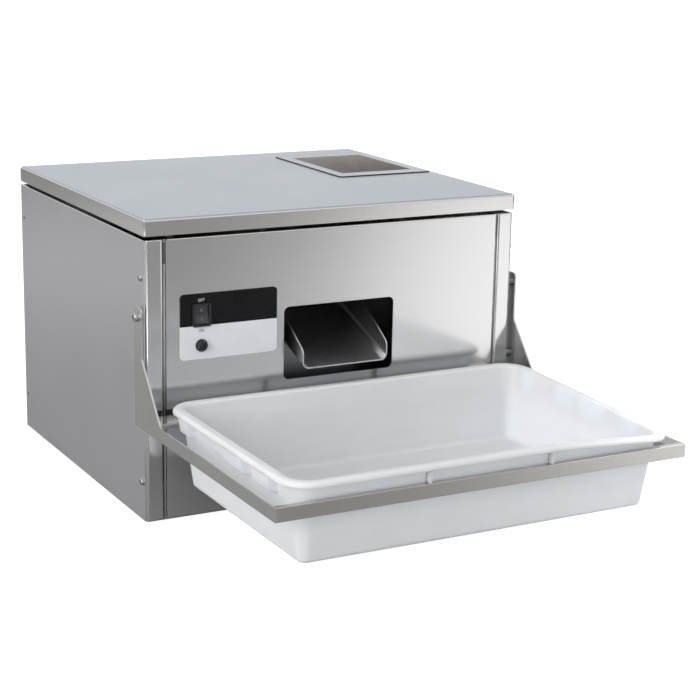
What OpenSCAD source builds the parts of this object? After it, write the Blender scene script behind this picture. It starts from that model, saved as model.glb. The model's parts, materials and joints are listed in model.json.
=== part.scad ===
// Tabletop cutlery dryer and polisher with a vibrating bowl, inlet hopper, outlet chute and collecting tray

/* [Body] */
// Width across the side panels
body_w = 490; // [460:1:560]
// Depth from the front panel to the rear panel
body_d = 430; // [415:1:500]
// Height from the lower edge of the panels to the top of the lid
body_h = 354; // [345:1:400]
// Thickness of the housing sheet
sheet = 1.5; // [1:0.1:2]
// Outside radius of the folded edges
bend_r = 3; // [2.5:0.1:5]
// Width of each front post's face
post_w = 21; // [17:0.5:30]
// Depth of each front post
post_d = 34; // [24:1:45]
// Open gap between the front panel and each post
post_gap = 3.5; // [2:0.5:8]
// Leg of the rear corner angles
rear_leg = 25; // [20:1:35]
// Set-back of the side panels behind the front
side_set = 3.5; // [2:0.5:4]

/* [Feet] */
// Diameter of the rubber feet
foot_d = 34; // [28:1:44]
// Height of the rubber feet
foot_h = 10; // [9:0.5:20]
// Distance of each foot's centre from the nearest panels
foot_inset = 52; // [46:1:58]
// Diameter of the foot bolts
foot_bolt_d = 6; // [4:0.5:8]

/* [Lid] */
// Height of the lid's folded skirt
lid_skirt = 19.5; // [14:0.5:26]
// Open gap between the skirt and the panels
lid_gap = 4.5; // [2:0.5:8]
// Width of the tabs that carry the lid
lid_tab_w = 8; // [6:1:20]
// Distance of the inner pair of tabs from the middle
lid_tab_x = 93; // [60:1:120]

/* [Hopper] */
// Inside width of the throat
throat_w = 104; // [90:1:115]
// Inside depth of the throat
throat_d = 145; // [120:1:160]
// Straight depth of the throat below the lid's top
throat_h = 45; // [30:1:60]
// Depth of the outlet below the lid's top
hopper_depth = 84; // [75:1:95]
// Sheet of the hopper
hopper_sheet = 1.2; // [0.8:0.1:1.5]
// Flange beside the throat at the left and right
flange_side = 15; // [10:0.5:18]
// Flange before and behind the throat
flange_end = 23; // [15:0.5:30]
// Lid left bare beside the flange
hopper_edge = 6.5; // [4:0.5:12]
// Lid left bare behind the flange
hopper_back = 46; // [30:1:60]
// Width of the outlet
outlet_w = 42; // [36:1:50]
// Depth of the outlet
outlet_d = 65; // [55:1:75]
// Play of the throat in the lid
lid_play = 1; // [0.5:0.1:2]

/* [Outlet opening] */
// Width of the opening in the front panel
opening_w = 147; // [130:1:160]
// Height of the opening
opening_h = 88; // [80:1:100]
// Lower edge of the opening above the panels' lower edge
opening_z = 151; // [145:1:160]
// Distance of the opening's middle from the front's middle
opening_x = 3; // [-5:0.5:8]
// Corner radius of the opening
opening_r = 7; // [3:0.5:12]

/* [Chute] */
// Reach of the chute in front of the panel
chute_out = 27; // [20:1:40]
// Slope of the chute's floor in degrees
chute_slope = 19.5; // [15:0.5:24]
// Slope of the walls' upper edges in degrees
chute_edge_slope = 32; // [24:1:36]
// Height of the lip above the opening's lower edge
chute_rise = 18; // [10:1:25]
// Height of the walls at the lip
chute_wall = 22; // [14:1:30]
// Sheet of the chute
chute_sheet = 1.5; // [1:0.1:2]
// Room at the left of the chute in the opening
chute_room_left = 11.5; // [5:0.5:14]
// Room at the right of the chute in the opening
chute_room_right = 22.5; // [10:0.5:34]
// Bend radius between floor and walls
chute_bend = 8; // [4:0.5:10]

/* [Control plate] */
// Width of the plate
plate_w = 122; // [110:1:126]
// Height of the plate
plate_h = 77; // [70:1:90]
// Thickness of the plate
plate_t = 1; // [0.6:0.1:2]
// Distance of the plate from the housing's left side
plate_left = 42.7; // [36:0.5:46]
// Lower edge of the plate above the panels' lower edge
plate_z = 188; // [170:1:200]
// Switch and fuse centre line, from the plate's left edge
control_in = 26.2; // [20:0.5:40]
// Width of the switch bezel
bezel_w = 23; // [21:0.5:27]
// Height of the switch bezel
bezel_h = 27; // [25:0.5:32]
// Thickness of the bezel
bezel_t = 2.2; // [1.5:0.1:3]
// Middle of the switch above the plate's lower edge
switch_up = 51.8; // [48:0.5:56]
// Border of the bezel round the rocker
bezel_border = 2.9; // [2.6:0.1:3.5]
// Play round the rocker
rocker_play = 0.3; // [0.2:0.05:0.5]
// Tilt of the rocker to each side in degrees
rocker_tilt = 8; // [5:0.5:10]
// Diameter of the fuse holder's flange
fuse_flange_d = 14.6; // [14:0.2:19]
// Middle of the fuse holder above the plate's lower edge
fuse_up = 16.2; // [14:0.5:20]
// Diameter of the fuse holder's barrel
fuse_barrel_d = 12.4; // [11.4:0.1:13]
// Diameter of the fuse cap at its foot
fuse_cap_d = 13; // [12:0.2:14]
// Diameter of the fuse cap's front
fuse_face_d = 10.6; // [9:0.2:12]
// Height of the fuse cap
fuse_cap_h = 4.5; // [3:0.5:6]

/* [Rack] */
// Reach of the rack in front of the panel
rack_reach = 348; // [320:1:400]
// Top of the rack above the panels' lower edge
rack_top = 129; // [120:1:132]
// Height of the arms and the front bar
rack_bar_h = 15; // [12:0.5:24]
// Sheet of the rack
rack_sheet = 2; // [1.5:0.1:3]
// Stand-off of the rack from the side panels
rack_standoff = 4; // [1:0.5:6]
// Width of the lower flanges
lower_flange = 9; // [6:0.5:14]
// Notch of the front bar's lower flange at each corner
bar_notch = 15; // [8:1:30]
// Top of the fixing strips above the panels' lower edge
strip_top = 254; // [248:1:270]
// Reach of the strips behind the front
strip_back = 17; // [15:0.5:20]
// Reach of the strips before the front
strip_front = 4; // [2:0.5:8]
// Height where the gussets leave the strips
gusset_z = 195; // [180:1:210]
// Reach of the gussets before the front
gusset_y = 58; // [45:1:80]

/* [Tray] */
// Height of the tray
tray_h = 93; // [80:1:105]
// Height of the rim's top above the rack's top
tray_stand = 21; // [17:0.5:24]
// Wall of the tray
tray_wall = 3; // [2:0.25:4]
// Overhang of the rim outside the wall
rim_over = 10; // [9:0.5:12]
// Depth of the rim's turned-down lip
lip_h = 6; // [5:0.5:9]
// Taper of each wall
tray_draft = 13.5; // [12:0.5:14]
// Corner radius of the rim
rim_corner = 34; // [34:1:48]
// Space between the rim and the arms' inner faces
tray_side_room = 13; // [10:0.5:15]
// Reach of the rim in front of the rack
rim_front = 4; // [0:0.5:5]
// Space between the rim and the chute's lip
tray_back_room = 4; // [3:0.5:10]
// Play between the tray's walls and the rack's upper flanges
tray_play = 1; // [0.5:0.25:2]
// Thickness of the ribs under the rim
rib_t = 3; // [2:0.25:5]

/* [Bowl] */
// Space between the bowl and the panels before and behind it
bowl_room = 30; // [28:0.5:40]
// Sheet of the bowl
bowl_sheet = 2; // [1.5:0.1:2.5]
// Outside radius of the motor column
column_r = 62; // [60:1:68]
// Room in the column above the motor
column_room = 55; // [45:1:65]
// Height of the trough's underside above the drive plate
trough_lift = 6; // [3:0.5:10]
// Room between the bowl's rim at its highest and the hopper's outlet
outlet_room = 5; // [4:0.5:9]
// Inner radius of the spiral ramp
ramp_inner = 120; // [110:1:130]
// Travel of the bowl up and down from rest
bowl_travel = 3; // [1:0.5:4]

/* [Drive] */
// Thickness of the drive plate
drive_t = 5; // [4:0.5:8]
// Radius of the motor
motor_r = 46; // [40:1:46]
// Height of the motor
motor_h = 115; // [100:1:125]
// Radius of the rotor shaft
shaft_r = 7; // [5:0.5:9]
// Running clearance of the shaft
shaft_play = 0.05; // [0.02:0.01:0.1]
// Thickness of the eccentric weights
weight_t = 14; // [10:1:18]
// Radius of the eccentric weights
weight_r = 48; // [36:1:52]
// Gap between the weights and the motor or the plate's bolts
weight_gap = 6; // [5.5:0.5:8]
// Length of the springs
spring_l = 46; // [44:1:55]
// Mean radius of the springs
spring_r = 13; // [11:0.5:15]
// Wire diameter of the springs
wire_d = 3.6; // [2.4:0.2:4]
// Distance of each spring from the bowl's middle, in X and in Y
spring_off = 95; // [85:1:105]
// Thickness of the spring seats
seat_t = 4; // [3:0.5:6]
// Tube diameter of the heater ring
heater_d = 10; // [8:0.5:11]

/* [Fasteners and inlet] */
// Diameter of the panel screws
screw_d = 4; // [3:0.5:5]
// Diameter of the panel screws' heads
screw_head_d = 8.4; // [7:0.2:10]
// Height of the upper panel screws
screw_high = 287; // [275:1:295]
// Height of the lower panel screws
screw_low = 46.5; // [40:0.5:60]
// Distance of the screws behind the front
screw_in = 9.5; // [8.5:0.5:12]
// Height of the rack screws
rack_screw_z = 242; // [236:1:246]
// Height of the rack studs
rack_stud_z = 150; // [140:1:160]
// Diameter of the rack's screws and studs
rack_screw_d = 5; // [4:0.5:6]
// Reach of the cable gland behind the rear panel
gland_out = 20; // [17:1:30]
// Bore of the cable gland
gland_bore_d = 8; // [6:0.5:9]
// Thread diameter of the cable gland
gland_thread_d = 16; // [14:1:20]
// Clearance of screws and pins in their holes
hole_play = 0.1; // [0.05:0.01:0.2]

/* [Hidden] */
$fn = 64;

// Soft gap between curved faces that don't fit into each other
near = 0.3;
// Overlap of cutting shapes past the faces that they cut
past = 1;

// Housing
half_w = body_w / 2;
inner_x = half_w - sheet;
inner_back = body_d - sheet;
panel_top = body_h - lid_skirt - lid_gap;
lid_under = body_h - sheet;
post_inner = inner_x - post_w;
panel_half = post_inner - post_gap;
shift_y = (rack_reach - body_d - gland_out) / 2;
rail_h = 24;
rail_d = 20;
rail_drop = 4;
rail_top = panel_top - rail_drop;
lid_tab_in = 10;
lid_tab_outer = post_inner - lid_tab_w / 2 - lid_tab_in;
tab_y = 14;
return_d = 12;
pan_flange = 14;
pan_flange_room = 6;

// Hopper
flange_w = throat_w + 2 * flange_side;
flange_d = throat_d + 2 * flange_end;
hopper_x = half_w - hopper_edge - flange_w / 2;
hopper_y = body_d - hopper_back - flange_d / 2;
outlet_step = 6;
outlet_x0 = hopper_x - throat_w / 2;
outlet_y0 = hopper_y - throat_d / 2 + outlet_step;
outlet_z = body_h - hopper_depth;

// Controls
control_x = -half_w + plate_left + control_in;
plate_x = -half_w + plate_left + plate_w / 2;
switch_z = plate_z + switch_up;
fuse_z = plate_z + fuse_up;
switch_wall = 1.1;
cavity_w = bezel_w - 2 * bezel_border;
cavity_over = 1;
cavity_h = bezel_h - 2 * bezel_border + cavity_over;
switch_body_w = cavity_w + 2 * switch_wall;
switch_body_h = cavity_h + 2 * switch_wall;
switch_depth = 20;
switch_floor = 6;
cutout_play = 0.2;
pivot_y = 1;
pivot_r = 1.5;
rocker_w = cavity_w - 2 * rocker_play;
rocker_r = cavity_h / 2 - rocker_play;
rocker_face_y = -plate_t;
fuse_flange_t = 1.6;
fuse_bore_r = 4.6;
fuse_front = -plate_t - fuse_flange_t;
fuse_spigot = 8;
fuse_r = 2.6;
fuse_l = 20;
fuse_nut_t = 3;
fuse_nut_r = fuse_barrel_d / 2 + 3;

// Rack
arm_in = half_w + rack_standoff;
arm_out = arm_in + rack_sheet;
rack_low = rack_top - rack_bar_h;
flange_start = 12;
gusset_fillet = 16;
strip_corner = 6;
heel_corner = 3;
gusset_corner = 4;
stud_end = 2;
rack_head_r = rack_screw_d + 0.5;
rack_head_h = 3.4;
rack_nut_r = rack_screw_d + 0.6;
rack_nut_t = 4;
spacer_r = rack_screw_d + 1;
screw_reach = 6;

// Tray
tray_half = arm_in - tray_side_room;
tray_front = -rack_reach - rim_front;
tray_back = -chute_out - tray_back_room;
tray_d = tray_back - tray_front;
tray_y = (tray_front + tray_back) / 2;
tray_z = rack_top + tray_stand - tray_h;
rim_t = 3;
rim_round = 2.4;
base_fillet = 6;
wall_top_r = rim_corner - rim_over;
wall_base_r = wall_top_r - tray_draft;
rib_foot = tray_h - tray_stand;
foot_in = rim_over + tray_draft * (1 - rib_foot / (tray_h - rim_t));
bar_flange = foot_in - rim_front - tray_play;
rear_flange = foot_in - tray_play - tray_back - flange_start;
side_ribs = 4;
side_rib_pitch = 76;
end_ribs = 2;
end_rib_pitch = 150;

// Bowl and drive
bowl_y = body_d / 2;
bowl_r = body_d / 2 - bowl_room;
bowl_top = outlet_z - outlet_room - bowl_travel;
drive_z = sheet + 2 * seat_t + spring_l;
drive_top = drive_z + drive_t;
drive_in = 10;
drive_r = bowl_r - drive_in;
trough_r = (bowl_r - column_r - near) / 2;
trough_mid = bowl_r - trough_r;
trough_z = drive_top + trough_lift + trough_r;
column_h = motor_h + column_room;
column_top = drive_top + column_h;
column_flange_play = 4;
column_flange_r = motor_r + column_flange_play;
column_flange_t = 3;
cap_t = 3;
weight_hub = 5;
weight_low = drive_z - weight_gap - weight_t;
weight_high = drive_top + motor_h + weight_gap;
shaft_end = 4;
ring_bolts = 6;
ring_bolt_r = 2.5;
ring_bolt_head = 3.6;
ring_bolt_circle = (column_flange_r + column_r - bowl_sheet) / 2;
motor_bolt_circle = 32;
bolt_head_t = 4;
motor_bolt_in = 10;
bolt_tail = 8;
seat_r = spring_r + wire_d;
spigot_r = spring_r - wire_d / 2 - 1;
spigot_h = 8;
coil_turns = 5;
turn_rings = 8;
coil_rings = turn_rings * coil_turns;
heater_angle = 50;
heater_far = trough_r + heater_d / 2 + near;
heater_ring_r = trough_mid + heater_far * cos(heater_angle);
heater_z = trough_z - heater_far * sin(heater_angle);
thermostat_in = 50;
thermostat_r = 12;
thermostat_h = 12;

// Chute
chute_left = opening_x - opening_w / 2 + chute_room_left;
chute_right = opening_x + opening_w / 2 - chute_room_right;
chute_w = chute_right - chute_left;
lip_z = opening_z + chute_rise;
landing_room = 3;
landing_y = bowl_y - ramp_inner - landing_room;
chute_tall = 120;
function floor_z(y) = lip_z + (y + chute_out) * tan(chute_slope);
gate_play = 0.5;
gate_drop = 4;
gate_z = floor_z(bowl_room) - gate_drop;
ramp_t = 2;
ramp_outer = bowl_r - bowl_sheet - near;
ramp_end = 180 + acos((-chute_left + 1) / ramp_outer);
ramp_step = 3;
ramp_low = trough_z + ramp_step;
ramp_high = floor_z(landing_y) + chute_sheet / cos(chute_slope) + ramp_step;
ramp_steps = 60;

// Rear
gland_from_left = 75;
gland_x = -half_w + gland_from_left;
gland_z = 42;
gland_seal_t = 1.5;
gland_hex_r = gland_thread_d / 2 + 4;
gland_hex_t = 6;
gland_in = 12;
louvre_w = 60;
louvre_h = 4;
louvre_rows = 10;
louvre_pitch = 12;
louvre_z = 150;
louvre_x = 110;

// A point list with its corners rounded by the radii in rs
function unit(v) = v / norm(v);
function turn(a) = a > 180 ? a - 360 : a < -180 ? a + 360 : a;
function corner(p, q, s, r, n = 8) = r == 0 ? [q] :
    let (u = unit(p - q), v = unit(s - q), half = acos(u * v) / 2,
         c = q + unit(u + v) * r / sin(half), a = q + u * r / tan(half) - c, b = q + v * r / tan(half) - c,
         start = atan2(a.y, a.x), sweep = turn(atan2(b.y, b.x) - start))
    [for (i = [0:n]) c + r * [cos(start + sweep * i / n), sin(start + sweep * i / n)]];
function rounded(pts, rs) = let (n = len(pts))
    [for (i = [0:n - 1]) each corner(pts[(i + n - 1) % n], pts[i], pts[(i + 1) % n], rs[i])];

// Moves the housing's frame, at the middle of the front's lower edge, to the part's own frame
module place() {
    translate([0, shift_y, foot_h]) children();
}

// A flat sheet drawn in X and Z, with its front face at y
module upright(t, y = 0) {
    translate([0, y + t, 0]) rotate([90, 0, 0]) linear_extrude(t) children();
}

// A flat sheet drawn in Y and Z, running from x towards +X
module sideways(t, x = 0) {
    translate([x, 0, 0]) rotate([90, 0, 90]) linear_extrude(t) children();
}

// A rod along Y from y towards +Y
module rod_y(r, h, x, y, z) {
    translate([x, y, z]) rotate([-90, 0, 0]) cylinder(r = r, h = h);
}

// A rod along X from x towards +X
module rod_x(r, h, x, y, z) {
    translate([x, y, z]) rotate([0, 90, 0]) cylinder(r = r, h = h);
}

module round_rect(w, h, r) {
    square([w - 2 * r, h], center = true);
    square([w, h - 2 * r], center = true);
    for (x = [-1, 1], y = [-1, 1]) translate([x * (w / 2 - r), y * (h / 2 - r)]) circle(r);
}

// A rectangle standing on y = 0 with its two upper corners rounded
module round_top(w, h, r) {
    translate([-w / 2, 0]) square([w, h - r]);
    translate([-w / 2 + r, 0]) square([w - 2 * r, h]);
    for (x = [-1, 1]) translate([x * (w / 2 - r), h - r]) circle(r);
}

// A channel with its web on y = 0 and its legs towards +Y
module channel(w, d, t, r) {
    translate([0, d]) mirror([0, 1]) difference() {
        round_top(w, d, r);
        translate([0, -past]) round_top(w - 2 * t, d - t + past, r - t);
    }
}

module both_sides() {
    children();
    mirror([1, 0, 0]) children();
}

// Heights of the screws along each upright edge
screw_heights = [screw_low, screw_high];

// Holes through the left or right wall at x, with the radii of screws or tight threads
module side_holes(x, play) {
    for (z = screw_heights, y = [screw_in, body_d - screw_in])
        rod_x(screw_d / 2 + play, 4 * sheet, x - 2 * sheet, y, z);
    rod_x(rack_screw_d / 2 + play, 4 * sheet, x - 2 * sheet, screw_in, rack_screw_z);
    rod_x(rack_screw_d / 2 + play, 4 * sheet, x - 2 * sheet, screw_in, rack_stud_z);
}

module rear_holes(y, play) {
    for (s = [-1, 1], z = screw_heights)
        rod_y(screw_d / 2 + play, 4 * sheet, s * (half_w - rear_leg / 2 - sheet), y - 2 * sheet, z);
}

module foot_places() {
    for (s = [-1, 1], y = [foot_inset, body_d - foot_inset])
        translate([s * (half_w - foot_inset), y, 0]) children();
}

module spring_places() {
    for (sx = [-1, 1], sy = [-1, 1]) translate([sx * spring_off, bowl_y + sy * spring_off, 0]) children();
}

// Housing

module base_pan() {
    color("silver") place() difference() {
        union() {
            translate([-inner_x, 0, 0]) cube([2 * inner_x, inner_back, sheet]);
            both_sides() translate([inner_x - sheet, post_d + pan_flange_room, sheet])
                cube([sheet, inner_back - rear_leg - post_d - 2 * pan_flange_room, pan_flange]);
        }
        foot_places() translate([0, 0, -past])
            cylinder(d = foot_bolt_d + 2 * hole_play, h = sheet + 2 * past);
    }
}

module rubber_feet() {
    taper = 3;
    recess_room = 0.6;
    recess_r = foot_bolt_d + recess_room;
    color("#1c1c1e") place() foot_places() difference() {
        translate([0, 0, -foot_h]) cylinder(r1 = foot_d / 2 - taper, r2 = foot_d / 2, h = foot_h);
        translate([0, 0, -foot_h - past]) cylinder(d = foot_bolt_d + 2 * hole_play, h = foot_h + 2 * past);
        translate([0, 0, -foot_h - past]) cylinder(r = recess_r, h = foot_h / 2 + past);
    }
}

module foot_bolts() {
    head_t = 3;
    nut_t = 5;
    bolt_over = 2;
    color("gainsboro") place() foot_places() {
        translate([0, 0, -foot_h / 2 - head_t]) cylinder(r = foot_bolt_d, h = head_t);
        translate([0, 0, -foot_h / 2]) cylinder(d = foot_bolt_d, h = foot_h / 2 + sheet + nut_t + bolt_over);
        translate([0, 0, sheet]) cylinder(r = foot_bolt_d, h = nut_t, $fn = 6);
    }
}

module front_post() {
    difference() {
        translate([inner_x - post_w / 2, 0, sheet])
            linear_extrude(panel_top - sheet) channel(post_w, post_d, sheet, bend_r);
        side_holes(inner_x, hole_play);
    }
}

module front_post_left() {
    color("gainsboro") place() mirror([1, 0, 0]) front_post();
}

module front_post_right() {
    color("gainsboro") place() front_post();
}

module rear_post() {
    difference() {
        translate([inner_x, inner_back, sheet]) linear_extrude(panel_top - sheet) {
            translate([-sheet, -rear_leg]) square([sheet, rear_leg]);
            translate([-rear_leg, -sheet]) square([rear_leg, sheet]);
        }
        side_holes(inner_x, hole_play);
        rear_holes(inner_back, hole_play);
    }
}

module rear_post_left() {
    color("silver") place() mirror([1, 0, 0]) rear_post();
}

module rear_post_right() {
    color("silver") place() rear_post();
}

// A tab that stands on a rail and carries the lid
module lid_tab(x, y) {
    translate([x - lid_tab_w / 2, y, rail_top - sheet])
        cube([lid_tab_w, sheet, lid_under - rail_top + sheet]);
}

module top_rail() {
    color("gainsboro") place() {
        translate([-post_inner, sheet, rail_top - rail_h]) difference() {
            cube([2 * post_inner, rail_d, rail_h]);
            translate([-past, sheet, sheet]) cube([2 * post_inner + 2 * past, rail_d, rail_h - 2 * sheet]);
        }
        for (s = [-1, 1], x = [lid_tab_x, lid_tab_outer]) lid_tab(s * x, tab_y);
    }
}

module rear_rail() {
    span = inner_x - rear_leg;
    color("silver") place() {
        translate([-span, inner_back - sheet, rail_top - rail_h]) cube([2 * span, sheet, rail_h]);
        translate([-span, inner_back - rail_d, rail_top - sheet]) cube([2 * span, rail_d, sheet]);
        for (s = [-1, 1]) lid_tab(s * lid_tab_x, inner_back - tab_y - sheet);
    }
}

module side_panel() {
    difference() {
        translate([inner_x, side_set, 0]) cube([sheet, body_d - side_set, panel_top]);
        side_holes(half_w, hole_play);
    }
}

module side_panel_left() {
    color("darkgray") place() mirror([1, 0, 0]) side_panel();
}

module side_panel_right() {
    color("darkgray") place() side_panel();
}

module rear_panel() {
    color("darkgray") place() difference() {
        upright(sheet, inner_back) difference() {
            translate([-inner_x, 0]) square([2 * inner_x, panel_top]);
            for (s = [-1, 1], i = [0:louvre_rows - 1])
                translate([s * louvre_x, louvre_z + i * louvre_pitch])
                    square([louvre_w, louvre_h], center = true);
            translate([gland_x, gland_z]) circle(d = gland_thread_d + 2 * hole_play);
        }
        rear_holes(body_d, hole_play);
    }
}

// Openings in the front panel and the control plate for the switch and the fuse holder
module control_cutouts() {
    translate([control_x, switch_z])
        square([switch_body_w + 2 * cutout_play, switch_body_h + 2 * cutout_play], center = true);
    translate([control_x, fuse_z]) circle(d = fuse_barrel_d + 2 * hole_play);
}

module front_panel() {
    return_low = 20;
    return_room = 6;
    return_high = rail_top - rail_h - return_room;
    color("gainsboro") place() {
        upright(sheet) difference() {
            translate([-panel_half, sheet]) square([2 * panel_half, panel_top - sheet]);
            translate([opening_x, opening_z + opening_h / 2]) round_rect(opening_w, opening_h, opening_r);
            control_cutouts();
        }
        both_sides() translate([panel_half - sheet, sheet, return_low])
            cube([sheet, return_d, return_high - return_low]);
    }
}

// A pan-head screw along +Z with its head's underside on z = 0
module pan_screw(d, head_d, head_h, l) {
    dome = head_h / 3;
    rotate_extrude() polygon(concat(
        [[0, -l], [d / 2, -l], [d / 2, 0]],
        rounded([[head_d / 2, 0], [head_d / 2, head_h], [0, head_h + dome]], [0, head_h / 2, 0])));
}

module panel_screws() {
    head_h = screw_head_d * 0.3;
    color("gainsboro") place() {
        both_sides() for (z = screw_heights, y = [screw_in, body_d - screw_in])
            translate([half_w, y, z]) rotate([0, 90, 0])
                pan_screw(screw_d, screw_head_d, head_h, screw_reach);
        both_sides() for (z = screw_heights)
            translate([half_w - rear_leg / 2 - sheet, body_d, z]) rotate([-90, 0, 0])
                pan_screw(screw_d, screw_head_d, head_h, screw_reach);
    }
}

// Controls

module control_plate() {
    plate_corner = 5;
    color("#2a2a2c") place() upright(plate_t, -plate_t) difference() {
        translate([plate_x, plate_z + plate_h / 2]) round_rect(plate_w, plate_h, plate_corner);
        control_cutouts();
    }
}

module switch_bezel() {
    bezel_corner = 2;
    front = -plate_t - bezel_t;
    color("#161617") place() translate([control_x, 0, switch_z]) difference() {
        union() {
            upright(bezel_t, front) round_rect(bezel_w, bezel_h, bezel_corner);
            translate([-switch_body_w / 2, -plate_t, -switch_body_h / 2])
                cube([switch_body_w, plate_t + switch_depth, switch_body_h]);
        }
        translate([-cavity_w / 2, front - past, -cavity_h / 2])
            cube([cavity_w, switch_depth - switch_floor - front + past, cavity_h]);
        rod_x(pivot_r + shaft_play, switch_body_w + 2 * past, -switch_body_w / 2 - past, pivot_y, 0);
    }
}

module switch_rocker() {
    rise = rocker_r * tan(rocker_tilt);
    pin_end = 0.2;
    pin_l = switch_body_w - 2 * pin_end;
    color("#202022") place() translate([control_x, pivot_y, switch_z]) rotate([-rocker_tilt, 0, 0]) {
        intersection() {
            sideways(rocker_w, -rocker_w / 2) polygon([
                [rocker_r, -rocker_r], [rocker_r, rocker_r],
                [rocker_face_y - pivot_y - rise, rocker_r], [rocker_face_y - pivot_y, 0],
                [rocker_face_y - pivot_y - rise, -rocker_r]]);
            rod_x(rocker_r, rocker_w, -rocker_w / 2, 0, 0);
        }
        rod_x(pivot_r, pin_l, -pin_l / 2, 0, 0);
    }
}

module fuse_holder() {
    end_room = 1;
    end_wall = 3;
    bore_l = fuse_spigot + fuse_l + end_room;
    color("#161617") place() translate([control_x, 0, fuse_z]) difference() {
        union() {
            rod_y(fuse_flange_d / 2, fuse_flange_t, 0, fuse_front, 0);
            rod_y(fuse_barrel_d / 2, bore_l + end_wall, 0, fuse_front, 0);
        }
        rod_y(fuse_bore_r, bore_l + past, 0, fuse_front - past, 0);
    }
}

module fuse_nut() {
    color("dimgray") place() translate([control_x, 0, fuse_z]) difference() {
        translate([0, sheet, 0]) rotate([-90, 0, 0]) cylinder(r = fuse_nut_r, h = fuse_nut_t, $fn = 6);
        rod_y(fuse_barrel_d / 2 + shaft_play, fuse_nut_t + 2 * past, 0, sheet - past, 0);
    }
}

module fuse_cap() {
    slot_w = 1.6;
    slot_h = 1.4;
    slot_turn = -40;
    face_round = 0.6;
    color("#161617") place() translate([control_x, fuse_front, fuse_z]) difference() {
        union() {
            rotate([90, 0, 0]) rotate_extrude() polygon(rounded(
                [[0, 0], [fuse_cap_d / 2, 0], [fuse_face_d / 2, fuse_cap_h], [0, fuse_cap_h]],
                [0, 0, face_round, 0]));
            rod_y(fuse_bore_r - shaft_play, fuse_spigot, 0, 0, 0);
        }
        rotate([0, slot_turn, 0]) translate([-fuse_cap_d, -fuse_cap_h - past, -slot_w / 2])
            cube([2 * fuse_cap_d, slot_h + past, slot_w]);
    }
}

module fuse_cartridge() {
    color("white") place() rod_y(fuse_r, fuse_l, control_x, fuse_front + fuse_spigot, fuse_z);
}

// Rear inlet and wiring

module cable_gland() {
    dome_step = 1.5;
    dome_taper = 1;
    dome_round = 3;
    dome_r = gland_hex_r - dome_step;
    dome_l = gland_out - gland_seal_t - gland_hex_t;
    color("#2b2b2d") place() translate([gland_x, body_d + gland_seal_t, gland_z]) difference() {
        union() {
            rotate([-90, 0, 0]) cylinder(r = gland_hex_r, h = gland_hex_t, $fn = 6);
            translate([0, gland_hex_t, 0]) rotate([-90, 0, 0]) rotate_extrude() polygon(rounded(
                [[0, 0], [dome_r, 0], [dome_r - dome_taper, dome_l], [0, dome_l]], [0, 0, dome_round, 0]));
            rod_y(gland_thread_d / 2, gland_in + gland_seal_t, 0, -gland_in - gland_seal_t, 0);
        }
        rod_y(gland_bore_d / 2, gland_in + gland_out + 2 * past, 0, -gland_in - gland_seal_t - past, 0);
    }
}

// A ring round the gland's thread
module gland_ring(r, t, y, sides) {
    translate([gland_x, y, gland_z]) difference() {
        rotate([-90, 0, 0]) cylinder(r = r, h = t, $fn = sides);
        rod_y(gland_thread_d / 2 + shaft_play, t + 2 * past, 0, -past, 0);
    }
}

module gland_seal() {
    seal_in = 1;
    color("#1c1c1e") place() gland_ring(gland_hex_r - seal_in, gland_seal_t, body_d, $fn);
}

module gland_locknut() {
    nut_t = 4;
    color("#2b2b2d") place() gland_ring(gland_hex_r, nut_t, inner_back - nut_t, 6);
}

module terminal_block() {
    block = [70, 24, 20];
    ways = 5;
    way_r = 2.4;
    way_h = 6;
    from_left = 70;
    from_back = 45;
    color("ivory") place() translate([-half_w + from_left, inner_back - from_back, sheet]) difference() {
        cube(block);
        for (i = [0:ways - 1]) translate([(i + 0.5) * block.x / ways, block.y / 2, block.z - way_h])
            cylinder(r = way_r, h = way_h + past);
    }
}

module run_capacitor() {
    can_r = 18;
    can_h = 48;
    post_h = 6;
    from_right = 105;
    from_front = 42;
    color("lightgray") place() translate([half_w - from_right, from_front, sheet]) {
        cylinder(r = can_r, h = can_h);
        for (s = [-1, 1]) translate([s * can_r / 2, 0, can_h]) cylinder(r = 2, h = post_h);
    }
}

// Lid and hopper

// A box standing on z = 0 with its upper edges rounded
module soft_box(w, d, h, r) {
    intersection() {
        translate([0, d, 0]) rotate([90, 0, 0]) linear_extrude(d) round_top(w, h, r);
        translate([-w / 2, d / 2, 0]) rotate([90, 0, 90]) linear_extrude(w) round_top(d, h, r);
    }
}

module lid() {
    hole_room = hopper_sheet + lid_play;
    color("lightsteelblue") place() translate([0, 0, body_h - lid_skirt]) difference() {
        soft_box(body_w, body_d, lid_skirt, bend_r);
        translate([0, sheet, -past])
            soft_box(body_w - 2 * sheet, body_d - 2 * sheet, lid_skirt - sheet + past, bend_r - sheet);
        translate([hopper_x, hopper_y, lid_skirt])
            cube([throat_w + 2 * hole_room, throat_d + 2 * hole_room, 4 * bend_r], center = true);
    }
}

// The hopper's throat and funnel, grown by g on every side
module funnel(g, top, bottom) {
    slice = 0.01;
    translate([hopper_x - throat_w / 2 - g, hopper_y - throat_d / 2 - g, body_h - throat_h])
        cube([throat_w + 2 * g, throat_d + 2 * g, throat_h + top]);
    hull() {
        translate([hopper_x - throat_w / 2 - g, hopper_y - throat_d / 2 - g, body_h - throat_h])
            cube([throat_w + 2 * g, throat_d + 2 * g, slice]);
        translate([outlet_x0 - g, outlet_y0 - g, outlet_z - bottom])
            cube([outlet_w + 2 * g, outlet_d + 2 * g, slice]);
    }
}

module hopper() {
    flange_corner = 4;
    color("silver") place() difference() {
        union() {
            funnel(hopper_sheet, 0, 0);
            translate([hopper_x, hopper_y, body_h]) linear_extrude(hopper_sheet)
                round_rect(flange_w, flange_d, flange_corner);
        }
        funnel(0, hopper_sheet + past, past);
    }
}

// Rack and tray

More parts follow.
